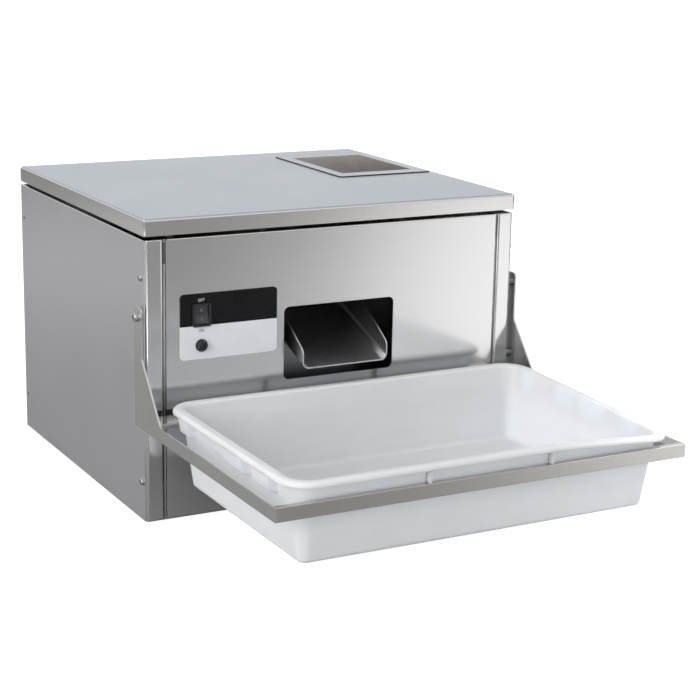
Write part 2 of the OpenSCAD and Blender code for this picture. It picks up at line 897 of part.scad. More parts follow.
module rack_arm() {
    side = [[strip_back, rack_low], [strip_back, strip_top], [-strip_front, strip_top],
            [-strip_front, gusset_z], [-gusset_y, rack_top], [-rack_reach, rack_top],
            [-rack_reach, rack_low]];
    radii = [heel_corner, strip_corner, strip_corner, gusset_corner, gusset_fillet, 0, 0];
    flange_l = rack_reach - lower_flange - flange_start - rack_sheet;
    difference() {
        union() {
            sideways(rack_sheet, arm_in) polygon(rounded(side, radii));
            translate([arm_out - lower_flange, -rack_reach + lower_flange, rack_low])
                cube([lower_flange - rack_sheet, flange_l, rack_sheet]);
            rod_x(rack_screw_d / 2, rack_standoff + 2 * sheet + rack_nut_t + stud_end,
                  inner_x - sheet - rack_nut_t - stud_end, screw_in, rack_stud_z);
        }
        rod_x(rack_screw_d / 2 + hole_play, rack_sheet + 2 * past, arm_in - past, screw_in, rack_screw_z);
    }
}

module rack_arm_left() {
    color("#a09c8c") place() mirror([1, 0, 0]) rack_arm();
}

module rack_arm_right() {
    color("#a09c8c") place() rack_arm();
}

module rack_front_bar() {
    color("#a09c8c") place() translate([0, -rack_reach, 0]) {
        translate([-arm_in, 0, rack_low]) cube([2 * arm_in, rack_sheet, rack_bar_h]);
        translate([-arm_in, 0, rack_top - rack_sheet]) cube([2 * arm_in, bar_flange, rack_sheet]);
        translate([-arm_in + bar_notch, 0, rack_low])
            cube([2 * (arm_in - bar_notch), lower_flange, rack_sheet]);
    }
}

module rack_rear_bar() {
    color("#a09c8c") place() translate([-arm_in, -flange_start, 0]) {
        translate([0, -rack_sheet, rack_low]) cube([2 * arm_in, rack_sheet, rack_bar_h]);
        translate([0, -rear_flange, rack_top - rack_sheet]) cube([2 * arm_in, rear_flange, rack_sheet]);
    }
}

module rack_screws() {
    color("gainsboro") place() both_sides() translate([arm_out, screw_in, rack_screw_z]) rotate([0, 90, 0])
        pan_screw(rack_screw_d, 2 * rack_head_r, rack_head_h, rack_sheet + rack_standoff + screw_reach);
}

module rack_spacers() {
    color("silver") place() both_sides() for (z = [rack_screw_z, rack_stud_z]) difference() {
        rod_x(spacer_r, rack_standoff, half_w, screw_in, z);
        rod_x(rack_screw_d / 2 + hole_play, rack_standoff + 2 * past, half_w - past, screw_in, z);
    }
}

module rack_nuts() {
    color("silver") place() both_sides() difference() {
        translate([inner_x - sheet - rack_nut_t, screw_in, rack_stud_z]) rotate([0, 90, 0])
            cylinder(r = rack_nut_r, h = rack_nut_t, $fn = 6);
        rod_x(rack_screw_d / 2 + shaft_play, rack_nut_t + 2 * past, inner_x - sheet - rack_nut_t - past,
              screw_in, rack_stud_z);
    }
}

// The tray's floor, wall and rim, from the middle of a corner's rounding outwards
module tray_section() {
    under_round = 0.5;
    lip_round = 0.8;
    polygon(rounded(
        [[0, 0], [wall_base_r, 0], [wall_top_r, tray_h - rim_t], [rim_corner - rim_t, tray_h - rim_t],
         [rim_corner - rim_t, tray_h - lip_h], [rim_corner, tray_h - lip_h], [rim_corner, tray_h],
         [wall_top_r - tray_wall, tray_h], [wall_base_r - tray_wall, tray_wall], [0, tray_wall]],
        [0, base_fillet, under_round, under_round, lip_round, lip_round, rim_round, rim_round,
         base_fillet - tray_wall / 2, 0]));
}

// A rib between the wall and the rim, standing on the rack
module tray_rib() {
    foot_r = rim_corner - foot_in - tray_wall / 2;
    lip_mid = rim_corner - rim_t / 2;
    rib_slant = 2;
    rib_edge = 1;
    rotate([90, 0, 0]) linear_extrude(rib_t, center = true)
        polygon([[foot_r, rib_foot], [rim_corner - rim_t - rib_slant, rib_foot],
                 [lip_mid, tray_h - lip_h + rib_edge], [lip_mid, tray_h - rim_t / 2],
                 [wall_top_r - tray_wall / 2, tray_h - rim_t / 2]]);
}

// One straight side, run long, with the middle of its corners' rounding at x
module tray_side(x, run, ribs, pitch) {
    translate([x, 0, 0]) {
        rotate([90, 0, 0]) linear_extrude(run, center = true) tray_section();
        for (i = [0:ribs - 1]) translate([0, (i - (ribs - 1) / 2) * pitch, 0]) tray_rib();
    }
}

module tray() {
    mid_x = tray_half - rim_corner;
    mid_y = tray_d / 2 - rim_corner;
    color("aliceblue") place() translate([0, tray_y, tray_z]) {
        translate([-mid_x, -mid_y, 0]) cube([2 * mid_x, 2 * mid_y, tray_wall]);
        for (a = [0, 180]) rotate(a) {
            tray_side(mid_x, 2 * mid_y, side_ribs, side_rib_pitch);
            rotate(90) tray_side(mid_y, 2 * mid_x, end_ribs, end_rib_pitch);
            translate([mid_x, mid_y, 0]) rotate_extrude(angle = 90) tray_section();
            translate([-mid_x, mid_y, 0]) rotate(90) rotate_extrude(angle = 90) tray_section();
        }
    }
}

// Bowl

module at_bowl() {
    place() translate([0, bowl_y, 0]) children();
}

module ring_bolt_places() {
    for (i = [0:ring_bolts - 1]) rotate(i * 360 / ring_bolts) translate([ring_bolt_circle, 0, 0]) children();
}

module motor_bolt_places() {
    for (i = [0:3]) rotate(45 + i * 90) translate([motor_bolt_circle, 0, 0]) children();
}

module drive_plate() {
    shaft_room = 3;
    color("slategray") at_bowl() translate([0, 0, drive_z]) difference() {
        cylinder(r = drive_r, h = drive_t, $fn = 96);
        translate([0, 0, -past]) {
            cylinder(r = shaft_r + shaft_room, h = drive_t + 2 * past);
            ring_bolt_places() cylinder(r = ring_bolt_r + hole_play, h = drive_t + 2 * past);
            motor_bolt_places() cylinder(r = ring_bolt_r + hole_play, h = drive_t + 2 * past);
        }
    }
}

module drive_bolts() {
    nut_over = 0.8;
    color("gainsboro") at_bowl() {
        ring_bolt_places() {
            translate([0, 0, drive_z - bolt_tail])
                cylinder(r = ring_bolt_r, h = bolt_tail + drive_t + column_flange_t);
            translate([0, 0, drive_top + column_flange_t]) cylinder(r = ring_bolt_head, h = bolt_head_t);
            translate([0, 0, drive_z - bolt_head_t])
                cylinder(r = ring_bolt_head + nut_over, h = bolt_head_t, $fn = 6);
        }
        motor_bolt_places() {
            translate([0, 0, drive_z]) cylinder(r = ring_bolt_r, h = drive_t + motor_bolt_in);
            translate([0, 0, drive_z - bolt_head_t]) cylinder(r = ring_bolt_head, h = bolt_head_t);
        }
    }
}

module motor_column() {
    color("silver") at_bowl() translate([0, 0, drive_top]) difference() {
        cylinder(r = column_r, h = column_h);
        translate([0, 0, column_flange_t]) cylinder(r = column_r - bowl_sheet, h = column_h);
        translate([0, 0, -past]) {
            cylinder(r = column_flange_r, h = column_flange_t + 2 * past);
            ring_bolt_places() cylinder(r = ring_bolt_r + hole_play, h = column_flange_t + 2 * past);
        }
    }
}

module column_cap() {
    color("silver") at_bowl() translate([0, 0, column_top]) rotate_extrude()
        polygon(rounded([[0, 0], [column_r, 0], [column_r, cap_t], [0, cap_t]], [0, 0, cap_t / 2, 0]));
}

module bowl_trough() {
    color("silver") at_bowl() rotate_extrude($fn = 96) translate([trough_mid, trough_z]) intersection() {
        difference() {
            circle(trough_r);
            circle(trough_r - bowl_sheet);
        }
        translate([-bowl_r, -2 * trough_r]) square([2 * bowl_r, 2 * trough_r]);
    }
}

module bowl_wall() {
    color("silver") at_bowl() difference() {
        translate([0, 0, trough_z]) cylinder(r = bowl_r, h = bowl_top - trough_z, $fn = 96);
        translate([0, 0, trough_z - past])
            cylinder(r = bowl_r - bowl_sheet, h = bowl_top - trough_z + 2 * past, $fn = 96);
        translate([chute_left - gate_play, -bowl_r - past, gate_z])
            cube([chute_w + 2 * gate_play, bowl_r / 2, bowl_top - gate_z + past]);
    }
}

// A flat strip that climbs round the bowl's middle
module spiral_ramp() {
    pts = [for (i = [0:ramp_steps])
        let (a = ramp_end * i / ramp_steps, z = ramp_low + (ramp_high - ramp_low) * i / ramp_steps)
        each [for (q = [[ramp_inner, 0], [ramp_outer, 0], [ramp_outer, ramp_t], [ramp_inner, ramp_t]])
            [q.x * cos(a), q.x * sin(a), z + q.y]]];
    last = 4 * ramp_steps;
    skin = [for (i = [0:ramp_steps - 1], k = [0:3]) let (p = 4 * i + k, q = 4 * i + (k + 1) % 4)
        each [[p, p + 4, q], [q, p + 4, q + 4]]];
    ends = [[0, 1, 2], [0, 2, 3], [last, last + 2, last + 1], [last, last + 3, last + 2]];
    color("lightgray") at_bowl() polyhedron(pts, concat(skin, ends));
}

// A bent trough across X, with its floor's underside on y = 0
module chute_section() {
    difference() {
        translate([0, chute_tall]) mirror([0, 1]) round_top(chute_w, chute_tall, chute_bend);
        translate([0, chute_tall + past]) mirror([0, 1])
            round_top(chute_w - 2 * chute_sheet, chute_tall + past - chute_sheet, chute_bend - chute_sheet);
    }
}

// Children drawn in the sloped floor's own axes, with Z down the chute from the landing
module down_chute() {
    translate([(chute_left + chute_right) / 2, landing_y, floor_z(landing_y)])
        rotate([90 + chute_slope, 0, 0]) children();
}

module outlet_chute() {
    run = (landing_y + chute_out) / cos(chute_slope);
    gate_wall = 8;
    wall_end = bowl_room + gate_wall;
    edge_z = lip_z + chute_wall;
    back_z = edge_z + (landing_y + chute_out) * tan(chute_edge_slope);
    below_rim = 12;
    side_low = lip_z - chute_rise / 2;
    side_top = bowl_top - below_rim;
    chute_nose = 10;
    color("dimgray") place() difference() {
        intersection() {
            down_chute() translate([0, 0, -chute_tall / 2]) linear_extrude(run + chute_tall) chute_section();
            sideways(chute_w + 2 * past, chute_left - past) intersection() {
                polygon(rounded([[-chute_out, side_low], [-chute_out, edge_z], [landing_y, back_z],
                                 [landing_y, side_low]], [0, chute_nose, 0, 0]));
                translate([-chute_out, side_low]) square([landing_y + chute_out, side_top - side_low]);
            }
        }
        down_chute() translate([-chute_w / 2 - past, chute_sheet, -chute_tall / 2])
            cube([chute_bend + past, chute_tall,
                  chute_tall / 2 + (landing_y - wall_end) / cos(chute_slope)]);
    }
}

// Drive

module motor_body() {
    fin_depth = 3;
    fin_r = motor_r - fin_depth;
    fins = 6;
    fin_t = 6;
    color("#3c4a58") at_bowl() translate([0, 0, drive_top]) difference() {
        union() {
            cylinder(r = fin_r, h = motor_h);
            for (i = [0:fins - 1]) translate([0, 0, i * (motor_h - fin_t) / (fins - 1)])
                cylinder(r = motor_r, h = fin_t);
        }
        translate([0, 0, -past]) cylinder(r = shaft_r + shaft_play, h = motor_h + 2 * past);
        motor_bolt_places() translate([0, 0, -past])
            cylinder(r = ring_bolt_r + shaft_play, h = motor_bolt_in + past + 1);
    }
}

module rotor_shaft() {
    color("gainsboro") at_bowl() translate([0, 0, weight_low - shaft_end])
        cylinder(r = shaft_r, h = weight_high + weight_t - weight_low + 2 * shaft_end);
}

// A half disc with a hub, clamped on the shaft
module weight(z) {
    color("darkslategray") at_bowl() translate([0, 0, z]) difference() {
        union() {
            cylinder(r = shaft_r + weight_hub, h = weight_t);
            intersection() {
                cylinder(r = weight_r, h = weight_t);
                translate([-weight_r, 0, 0]) cube([2 * weight_r, weight_r, weight_t]);
            }
        }
        translate([0, 0, -past]) cylinder(r = shaft_r + shaft_play, h = weight_t + 2 * past);
    }
}

module upper_weight() {
    weight(weight_high);
}

module lower_weight() {
    weight(weight_low);
}

// Middle of the spring's wire at ring i
function coil_point(i) = [spring_r * cos(360 * i / turn_rings), spring_r * sin(360 * i / turn_rings),
    wire_d / 2 + (spring_l - wire_d) * i / coil_rings];

// Least open gap between one turn of the spring and the next
coil_gap = min([for (i = [0:coil_rings - turn_rings])
    norm(coil_point(i + turn_rings) - coil_point(i))]) - wire_d;
echo(coil_gap = coil_gap);

// One coil spring standing on z = 0
module coil_spring() {
    sides = 6;
    pts = [for (i = [0:coil_rings]) let (a = 360 * i / turn_rings, z = coil_point(i).z)
        each [for (k = [0:sides - 1]) let (b = 360 * k / sides, r = spring_r + wire_d / 2 * cos(b))
            [r * cos(a), r * sin(a), z + wire_d / 2 * sin(b)]]];
    last = sides * coil_rings;
    skin = [for (i = [0:coil_rings - 1], k = [0:sides - 1])
        let (p = sides * i + k, q = sides * i + (k + 1) % sides)
        each [[p, p + sides, q], [q, p + sides, q + sides]]];
    ends = [for (k = [1:sides - 2]) each [[0, k, k + 1], [last, last + k + 1, last + k]]];
    polyhedron(pts, concat(skin, ends));
}

module springs() {
    color("lightslategray") place() spring_places() translate([0, 0, sheet + seat_t]) coil_spring();
}

// A seat with a spigot that centres a spring
module spring_seat() {
    cylinder(r = seat_r, h = seat_t);
    cylinder(r = spigot_r, h = seat_t + spigot_h);
}

module spring_seats_lower() {
    color("#1c1c1e") place() spring_places() translate([0, 0, sheet]) spring_seat();
}

module spring_seats_upper() {
    color("#1c1c1e") place() spring_places() translate([0, 0, drive_z]) mirror([0, 0, 1]) spring_seat();
}

module heater_ring() {
    color("firebrick") at_bowl() translate([0, 0, heater_z]) rotate_extrude($fn = 96)
        translate([heater_ring_r, 0]) circle(d = heater_d, $fn = 32);
}

module heater_clips() {
    clips = 4;
    clip_d = heater_d * 0.8;
    color("silver") at_bowl() for (i = [0:clips - 1]) rotate(i * 360 / clips)
        translate([heater_ring_r, 0, drive_top])
            cylinder(d = clip_d, h = heater_z - heater_d / 2 - near - drive_top);
}

module thermostat() {
    lug_h = 3;
    color("ivory") at_bowl() translate([0, drive_r - thermostat_in, drive_z - thermostat_h]) {
        cylinder(r = thermostat_r, h = thermostat_h);
        for (s = [-1, 1]) translate([s * thermostat_r / 2, 0, -lug_h]) cylinder(r = 2, h = lug_h);
    }
}

base_pan();
rubber_feet();
foot_bolts();
front_post_left();
front_post_right();
rear_post_left();
rear_post_right();
top_rail();
rear_rail();
side_panel_left();
side_panel_right();
rear_panel();
front_panel();
panel_screws();
control_plate();
switch_bezel();
switch_rocker();
fuse_holder();
fuse_nut();
fuse_cap();
fuse_cartridge();
cable_gland();
gland_seal();
gland_locknut();
terminal_block();
run_capacitor();
lid();
hopper();
rack_arm_left();
rack_arm_right();
rack_front_bar();
rack_rear_bar();
rack_screws();
rack_spacers();
rack_nuts();
tray();
drive_plate();
drive_bolts();
motor_column();
column_cap();
bowl_trough();
bowl_wall();
spiral_ramp();
outlet_chute();
motor_body();
rotor_shaft();
upper_weight();
lower_weight();
springs();
spring_seats_lower();
spring_seats_upper();
heater_ring();
heater_clips();
thermostat();
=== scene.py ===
"""Looks of a tabletop cutlery dryer and polisher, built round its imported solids.

Sizes are in metres in the part's own frame, with X to the right, Y to the back and Z up.
"""
import json
import logging
import math
from abc import ABC, abstractmethod
from dataclasses import dataclass, field
from enum import Enum
from functools import cache
from typing import NamedTuple, Protocol

import bmesh
import bpy
from mathutils import Matrix, Vector

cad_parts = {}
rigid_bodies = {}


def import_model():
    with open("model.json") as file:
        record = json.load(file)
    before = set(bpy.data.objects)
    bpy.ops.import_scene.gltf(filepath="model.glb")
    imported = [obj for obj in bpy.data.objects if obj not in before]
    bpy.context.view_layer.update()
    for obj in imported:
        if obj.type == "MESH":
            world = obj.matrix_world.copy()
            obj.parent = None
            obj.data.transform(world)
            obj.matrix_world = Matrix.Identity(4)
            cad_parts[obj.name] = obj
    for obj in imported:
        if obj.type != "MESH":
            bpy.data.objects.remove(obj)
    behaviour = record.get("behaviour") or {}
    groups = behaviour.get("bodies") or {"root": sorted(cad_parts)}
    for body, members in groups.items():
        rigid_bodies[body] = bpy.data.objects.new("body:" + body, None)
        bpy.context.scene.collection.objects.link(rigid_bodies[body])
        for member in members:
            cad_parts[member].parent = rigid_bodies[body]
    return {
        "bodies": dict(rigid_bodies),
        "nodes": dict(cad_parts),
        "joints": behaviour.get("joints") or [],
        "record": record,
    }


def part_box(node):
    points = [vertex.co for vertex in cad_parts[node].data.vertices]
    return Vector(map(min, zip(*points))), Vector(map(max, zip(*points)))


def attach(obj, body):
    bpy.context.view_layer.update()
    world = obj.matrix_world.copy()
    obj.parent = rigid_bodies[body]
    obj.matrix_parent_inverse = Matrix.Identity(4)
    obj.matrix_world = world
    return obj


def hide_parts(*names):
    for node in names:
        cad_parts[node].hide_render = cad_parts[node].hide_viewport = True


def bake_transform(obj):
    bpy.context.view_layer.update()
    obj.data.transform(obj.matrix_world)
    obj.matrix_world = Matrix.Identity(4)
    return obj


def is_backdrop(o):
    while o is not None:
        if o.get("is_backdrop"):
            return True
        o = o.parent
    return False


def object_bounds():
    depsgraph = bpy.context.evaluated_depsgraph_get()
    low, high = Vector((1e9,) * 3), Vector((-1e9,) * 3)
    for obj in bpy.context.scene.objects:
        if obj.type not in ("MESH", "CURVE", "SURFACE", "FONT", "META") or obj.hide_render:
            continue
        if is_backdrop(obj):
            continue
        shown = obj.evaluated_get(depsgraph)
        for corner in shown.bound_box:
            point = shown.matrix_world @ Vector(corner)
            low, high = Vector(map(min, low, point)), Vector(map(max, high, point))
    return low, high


LOG = logging.getLogger("cutlery_dryer")
MM = 0.001
QUARTER = math.pi / 2
Triple = tuple[float, float, float]
Colour = Triple
Point = Vector | Triple
Socket = bpy.types.NodeSocket
Material = bpy.types.Material
Shape = bmesh.types.BMesh
EVEN: Triple = (1.0, 1.0, 1.0)
WHITE = (1.0, 1.0, 1.0, 1.0)
# Most of a noise pattern lies between these two values.
LOW, HIGH = 0.3, 0.7
# Rounding of a solid's sharp edges.
WELD_REACH = 0.01 * MM
EDGE_ANGLE = math.radians(50)
EDGE_STEPS = 2
# Radius and height of a pan head from its recess to its seat, as shares of the head's own.
PAN_PROFILE = ((0.66, 0.96), (0.82, 0.86), (0.93, 0.68), (0.985, 0.42), (1.0, 0.15), (1.0, 0.0))
# Radius of a bead's end and its distance in, as shares of the bead's radius.
BEAD_END = ((0.55, 0.0), (0.9, 0.25), (1.0, 0.7))


def scaled(colour: Colour, factor: float) -> Colour:
    """Returns a colour made lighter or darker by a factor."""
    return tuple(channel * factor for channel in colour)


def spread(low: float, high: float, count: int) -> list[float]:
    """Returns count numbers from low to high, both included."""
    return [low + (high - low) * i / (count - 1) for i in range(count)]


def circle(count: int) -> list[float]:
    """Returns the angles of count points round a full turn."""
    return [2 * math.pi * i / count for i in range(count)]


def clamp(value: float) -> float:
    """Returns a number held between 0 and 1."""
    return max(0.0, min(1.0, value))


class Grain(Enum):
    """Direction of the polishing lines on a sheet."""

    ACROSS = "x"
    DEEP = "y"
    UPRIGHT = "z"

    def stretch(self, line: float, run: float) -> Triple:
        """Returns a pattern's scale along each axis for lines of a width and a run."""
        return tuple(1 / run if axis == self.value else 1 / line for axis in "xyz")


class Tree:
    """A node tree, with short calls to add and join nodes."""

    def __init__(self, tree: bpy.types.NodeTree) -> None:
        """Takes over a tree."""
        self.nodes, self.links = tree.nodes, tree.links

    def feed(self, socket: Socket, value: object) -> None:
        """Joins a socket to another one, or sets its constant.

        Args:
            socket: Socket to set.
            value: The other socket or the constant.
        """
        if isinstance(value, Socket):
            self.links.new(value, socket)
        else:
            socket.default_value = value

    def add(self, kind: str, values: dict[str | int, object], **settings: object) -> bpy.types.Node:
        """Adds one node.

        Args:
            kind: Node type without its common prefix.
            values: Sockets by name or number, each with a constant or a socket to join.
            settings: Properties of the node.

        Returns:
            The new node.
        """
        node = self.nodes.new("ShaderNode" + kind)
        for key, value in settings.items():
            setattr(node, key, value)
        for name, value in values.items():
            self.feed(node.inputs[name], value)
        return node

    def seen(self, *also: str) -> Socket:
        """Tells the rays that show the background from the others.

        Args:
            also: Kinds of ray that count beside the straight ones.

        Returns:
            1 for those rays and 0 for the others.
        """
        path = self.add("LightPath", {})
        total = path.outputs["Is Camera Ray"]
        for name in also:
            pair = {0: total, 1: path.outputs[name]}
            total = self.add("Math", pair, operation="MAXIMUM").outputs[0]
        return total


class Shader(Tree):
    """A material's node tree, with the patterns that finishes share."""

    def __init__(self, name: str) -> None:
        """Starts a material that holds one principled shader."""
        self.material = bpy.data.materials.new(name)
        self.material.use_nodes = True
        super().__init__(self.material.node_tree)

    def finish(self, **values: object) -> Material:
        """Sets the principled shader's sockets.

        Args:
            values: Sockets by name with underscores for spaces, each with a constant or a socket.

        Returns:
            The finished material.
        """
        inputs = self.nodes["Principled BSDF"].inputs
        for name, value in values.items():
            self.feed(inputs[name.replace("_", " ")], value)
        return self.material

    def place(self, stretch: Triple = EVEN) -> Socket:
        """Returns the object's own coordinates, scaled along each axis."""
        at = self.add("TexCoord", {}).outputs["Object"]
        return self.add("Mapping", {"Vector": at, "Scale": stretch}).outputs["Vector"]

    def noise(self, scale: float, detail: float, stretch: Triple = EVEN) -> Socket:
        """Returns a soft random pattern in the object's own coordinates."""
        values = {"Vector": self.place(stretch), "Scale": scale, "Detail": detail}
        return self.add("TexNoise", values).outputs[0]

    def rise(self, at: Socket) -> Socket:
        """Returns the upright part of a place or a direction."""
        return self.add("SeparateXYZ", {"Vector": at}).outputs["Z"]

    def blend(self, a: Socket, b: Socket, share: float | Socket) -> Socket:
        """Returns a pattern between two others, with a share of the second."""
        return self.add("Mix", {"Factor": share, "A": a, "B": b}).outputs["Result"]

    def paint(self, a: Socket, b: Socket, share: float | Socket, way: str = "MIX") -> Socket:
        """Returns a colour between two others, with a share of the second."""
        values = {"Fac": share, "Color1": a, "Color2": b}
        return self.add("MixRGB", values, blend_type=way).outputs["Color"]

    def range(
        self, value: Socket, low: float, high: float, start: float = LOW, end: float = HIGH
    ) -> Socket:
        """Maps a pattern from start and end to low and high, and holds it there."""
        limits = {"From Min": start, "From Max": end, "To Min": low, "To Max": high}
        return self.add("MapRange", {"Value": value, **limits}).outputs["Result"]

    def around(self, value: Socket, middle: float, reach: float) -> Socket:
        """Returns a pattern that wavers round a number."""
        return self.range(value, middle - reach, middle + reach)

    def ramp(self, value: Socket, *stops: tuple[float, Colour]) -> Socket:
        """Colours a pattern.

        Args:
            value: Pattern to colour.
            stops: Values of the pattern, each with its colour.

        Returns:
            The colour along the pattern.
        """
        node = self.add("ValToRGB", {"Fac": value})
        elements = node.color_ramp.elements
        while len(elements) < len(stops):
            elements.new(0.5)
        for element, (at, colour) in zip(elements, stops):
            element.position = at
            element.color = (*colour, 1.0)
        return node.outputs["Color"]

    def tones(self, value: Socket, colour: Colour, dark: float, light: float) -> Socket:
        """Returns a colour that wavers between a darker and a lighter tone."""
        return self.ramp(value, (LOW, scaled(colour, dark)), (HIGH, scaled(colour, light)))

    def bump(self, height: Socket, strength: float, depth: float = 0.1 * MM) -> Socket:
        """Returns a normal that follows a height pattern."""
        values = {"Height": height, "Strength": strength, "Distance": depth}
        return self.add("Bump", values).outputs["Normal"]


class Finish(Protocol):
    """Anything that can make the material of a piece."""

    name: str

    def material(self) -> Material:
        """Makes the material."""


@dataclass(frozen=True)
class Steel:
    """Stainless sheet with fine polishing lines and faint handling marks."""

    name: str
    colour: Colour
    roughness: float
    grain: Grain = Grain.UPRIGHT
    line: float = 1.1 * MM
    run: float = 140 * MM
    shade: float = 0.05
    uneven: float = 0.05
    relief: float = 0.05

    def material(self) -> Material:
        """Makes the material.

        Returns:
            The new material.
        """
        shader = Shader(self.name)
        lines = shader.noise(1.0, detail=3.0, stretch=self.grain.stretch(self.line, self.run))
        marks = shader.noise(9.0, detail=4.0)
        tint = shader.blend(lines, marks, share=0.4)
        gloss = shader.blend(lines, marks, share=0.55)
        return shader.finish(
            Metallic=1.0,
            Base_Color=shader.tones(tint, self.colour, 1 - self.shade, 1 + self.shade),
            Roughness=shader.around(gloss, self.roughness, self.uneven),
            Normal=shader.bump(lines, self.relief),
        )


@dataclass(frozen=True)
class PaintedShadeSteel:
    """A stainless sheet with a satin top and folded sides, with painted shade: the top coloured
    darker and bluer, the sides brighter and warmer.
    """

    name: str
    top: Colour
    side: Colour
    top_roughness: float
    side_roughness: float
    line: float = 0.9 * MM
    run: float = 160 * MM
    shade: float = 0.01
    uneven: float = 0.02
    relief: float = 0.0006

    def material(self) -> Material:
        """Makes the material.

        Returns:
            The new material.
        """
        shader = Shader(self.name)
        stretch = Grain.ACROSS.stretch(self.line, self.run)
        lines = shader.noise(1.0, detail=3.0, stretch=stretch)
        marks = shader.noise(7.0, detail=4.0)
        tint = shader.blend(lines, marks, share=0.5)
        # Painted shade: the colour follows the way each face points, darker and bluer facing up,
        # brighter and warmer upright.
        upward = shader.rise(shader.add("TexCoord", {}).outputs["Normal"])
        level = shader.range(upward, 0.0, 1.0, start=0.35, end=0.65)
        side, top = (
            shader.tones(tint, colour, 1 - self.shade, 1 + self.shade)
            for colour in (self.side, self.top)
        )
        gloss, satin = (
            shader.around(marks, roughness, self.uneven)
            for roughness in (self.side_roughness, self.top_roughness)
        )
        return shader.finish(
            Metallic=1.0,
            Base_Color=shader.paint(side, top, level),
            Roughness=shader.blend(gloss, satin, level),
            Normal=shader.bump(lines, self.relief),
        )


@dataclass(frozen=True)
class Polyethylene:
    """Milky plastic that lets a little light through, with a faintly waxy skin."""

    name: str
    colour: Colour
    roughness: float = 0.36
    uneven: float = 0.07
    milk: float = 0.8
    depth: float = 12 * MM
    depth_tint: Triple = (1.0, 1.05, 1.15)

    def material(self) -> Material:
        """Makes the material.

        Returns:
            The new material.
        """
        shader = Shader(self.name)
        cloud = shader.noise(16.0, detail=3.0)
        skin = shader.noise(700.0, detail=2.0)
        flow = shader.noise(3.0, detail=3.0, stretch=(4.0, 4.0, 22.0))
        tint = shader.blend(cloud, flow, share=0.5)
        return shader.finish(
            Base_Color=shader.tones(tint, self.colour, dark=0.955, light=1.02),
            Roughness=shader.around(cloud, self.roughness, self.uneven),
            Normal=shader.bump(skin, strength=0.08),
            Subsurface_Weight=self.milk,
            Subsurface_Radius=self.depth_tint,
            Subsurface_Scale=self.depth,
            IOR=1.5,
        )


@dataclass(frozen=True)
class PrintedPlate:
    """A plate printed dark above a level line and pale below it."""

    name: str
    dark: Colour
    pale: Colour
    level: float
    blur: float = 0.1 * MM
    roughness: float = 0.3

    def material(self) -> Material:
        """Makes the material.

        Returns:
            The new material.
        """
        shader = Shader(self.name)
        height = shader.rise(shader.place())
        share = shader.range(height, 0.0, 1.0, self.level - self.blur, self.level + self.blur)
        grit = shader.noise(1800.0, detail=2.0)
        cloud = shader.noise(35.0, detail=3.0)
        ink = shader.ramp(share, (0.0, self.pale), (1.0, self.dark))
        worn = shader.tones(cloud, EVEN, dark=0.94, light=1.0)
        return shader.finish(
            Base_Color=shader.paint(ink, worn, share=1.0, way="MULTIPLY"),
            Roughness=shader.range(cloud, self.roughness - 0.05, self.roughness + 0.08),
            Normal=shader.bump(grit, strength=0.12, depth=0.05 * MM),
            Specular_IOR_Level=0.18,
        )


@dataclass(frozen=True)
class Mottled:
    """A mottled skin with a fine relief, as on moulded, cast, drawn or painted pieces."""

    name: str
    colour: Colour
    roughness: float
    metallic: float = 0.0
    coat: float = 0.0
    mottle: float = 0.12
    mottle_size: float = 6 * MM
    uneven: float = 0.06
    relief: float = 0.15
    relief_size: float = 0.6 * MM
    relief_depth: float = 0.15 * MM

    def material(self) -> Material:
        """Makes the material.

        Returns:
            The new material.
        """
        shader = Shader(self.name)
        cloud = shader.noise(1 / self.mottle_size, detail=4.0)
        skin = shader.noise(1 / self.relief_size, detail=3.0)
        return shader.finish(
            Metallic=self.metallic,
            Coat_Weight=self.coat,
            Base_Color=shader.tones(cloud, self.colour, 1 - self.mottle, 1 + self.mottle),
            Roughness=shader.around(cloud, self.roughness, self.uneven),
            Normal=shader.bump(skin, self.relief, self.relief_depth),
        )


@dataclass(frozen=True)
class HeatedTube:
    """A steel tube tinted straw, brown and blue by its own heat."""

    name: str
    straw: Colour = (0.42, 0.32, 0.19)
    brown: Colour = (0.25, 0.14, 0.11)
    blue: Colour = (0.16, 0.18, 0.28)
    roughness: float = 0.34

    def material(self) -> Material:
        """Makes the material.

        Returns:
            The new material.
        """
        shader = Shader(self.name)
        heat = shader.noise(24.0, detail=3.0)
        scale = shader.noise(600.0, detail=2.0)
        return shader.finish(
            Metallic=1.0,
            Base_Color=shader.ramp(heat, (LOW, self.straw), (0.5, self.brown), (HIGH, self.blue)),
            Roughness=shader.range(heat, self.roughness - 0.08, self.roughness + 0.1),
            Normal=shader.bump(scale, strength=0.1),
        )


def print_ink(name: str, colour: Colour) -> Mottled:
    """Returns a printing ink of a colour."""
    return Mottled(name, colour, 0.45, mottle=0.08, mottle_size=1 * MM)


# Lid and hopper: one steel in two tones by the way each face points, as painted shade.
LID_STEEL_PAINTED_SHADE = PaintedShadeSteel("lid_steel_painted_shade", (0.345, 0.38, 0.43), (0.66, 0.65, 0.64), 0.28, 0.16)
HOPPER_STEEL_PAINTED_SHADE = PaintedShadeSteel("hopper_steel_painted_shade", (0.33, 0.36, 0.40), (0.82, 0.79, 0.765), 0.26, 0.28)
FRONT_STEEL = Steel("front_steel", (0.66, 0.656, 0.655), 0.16, Grain.ACROSS,
                    shade=0.02, uneven=0.025, relief=0.006)
POST_STEEL = Steel("post_steel", (0.66, 0.656, 0.655), 0.15, shade=0.025, uneven=0.03, relief=0.012)
SIDE_STEEL = Steel("side_steel", (0.65, 0.65, 0.67), 0.34, shade=0.02, relief=0.02)
REAR_STEEL = Steel("rear_steel", (0.42, 0.42, 0.43), 0.36)
FRAME_STEEL = Steel("frame_steel", (0.30, 0.30, 0.305), 0.38, Grain.ACROSS)
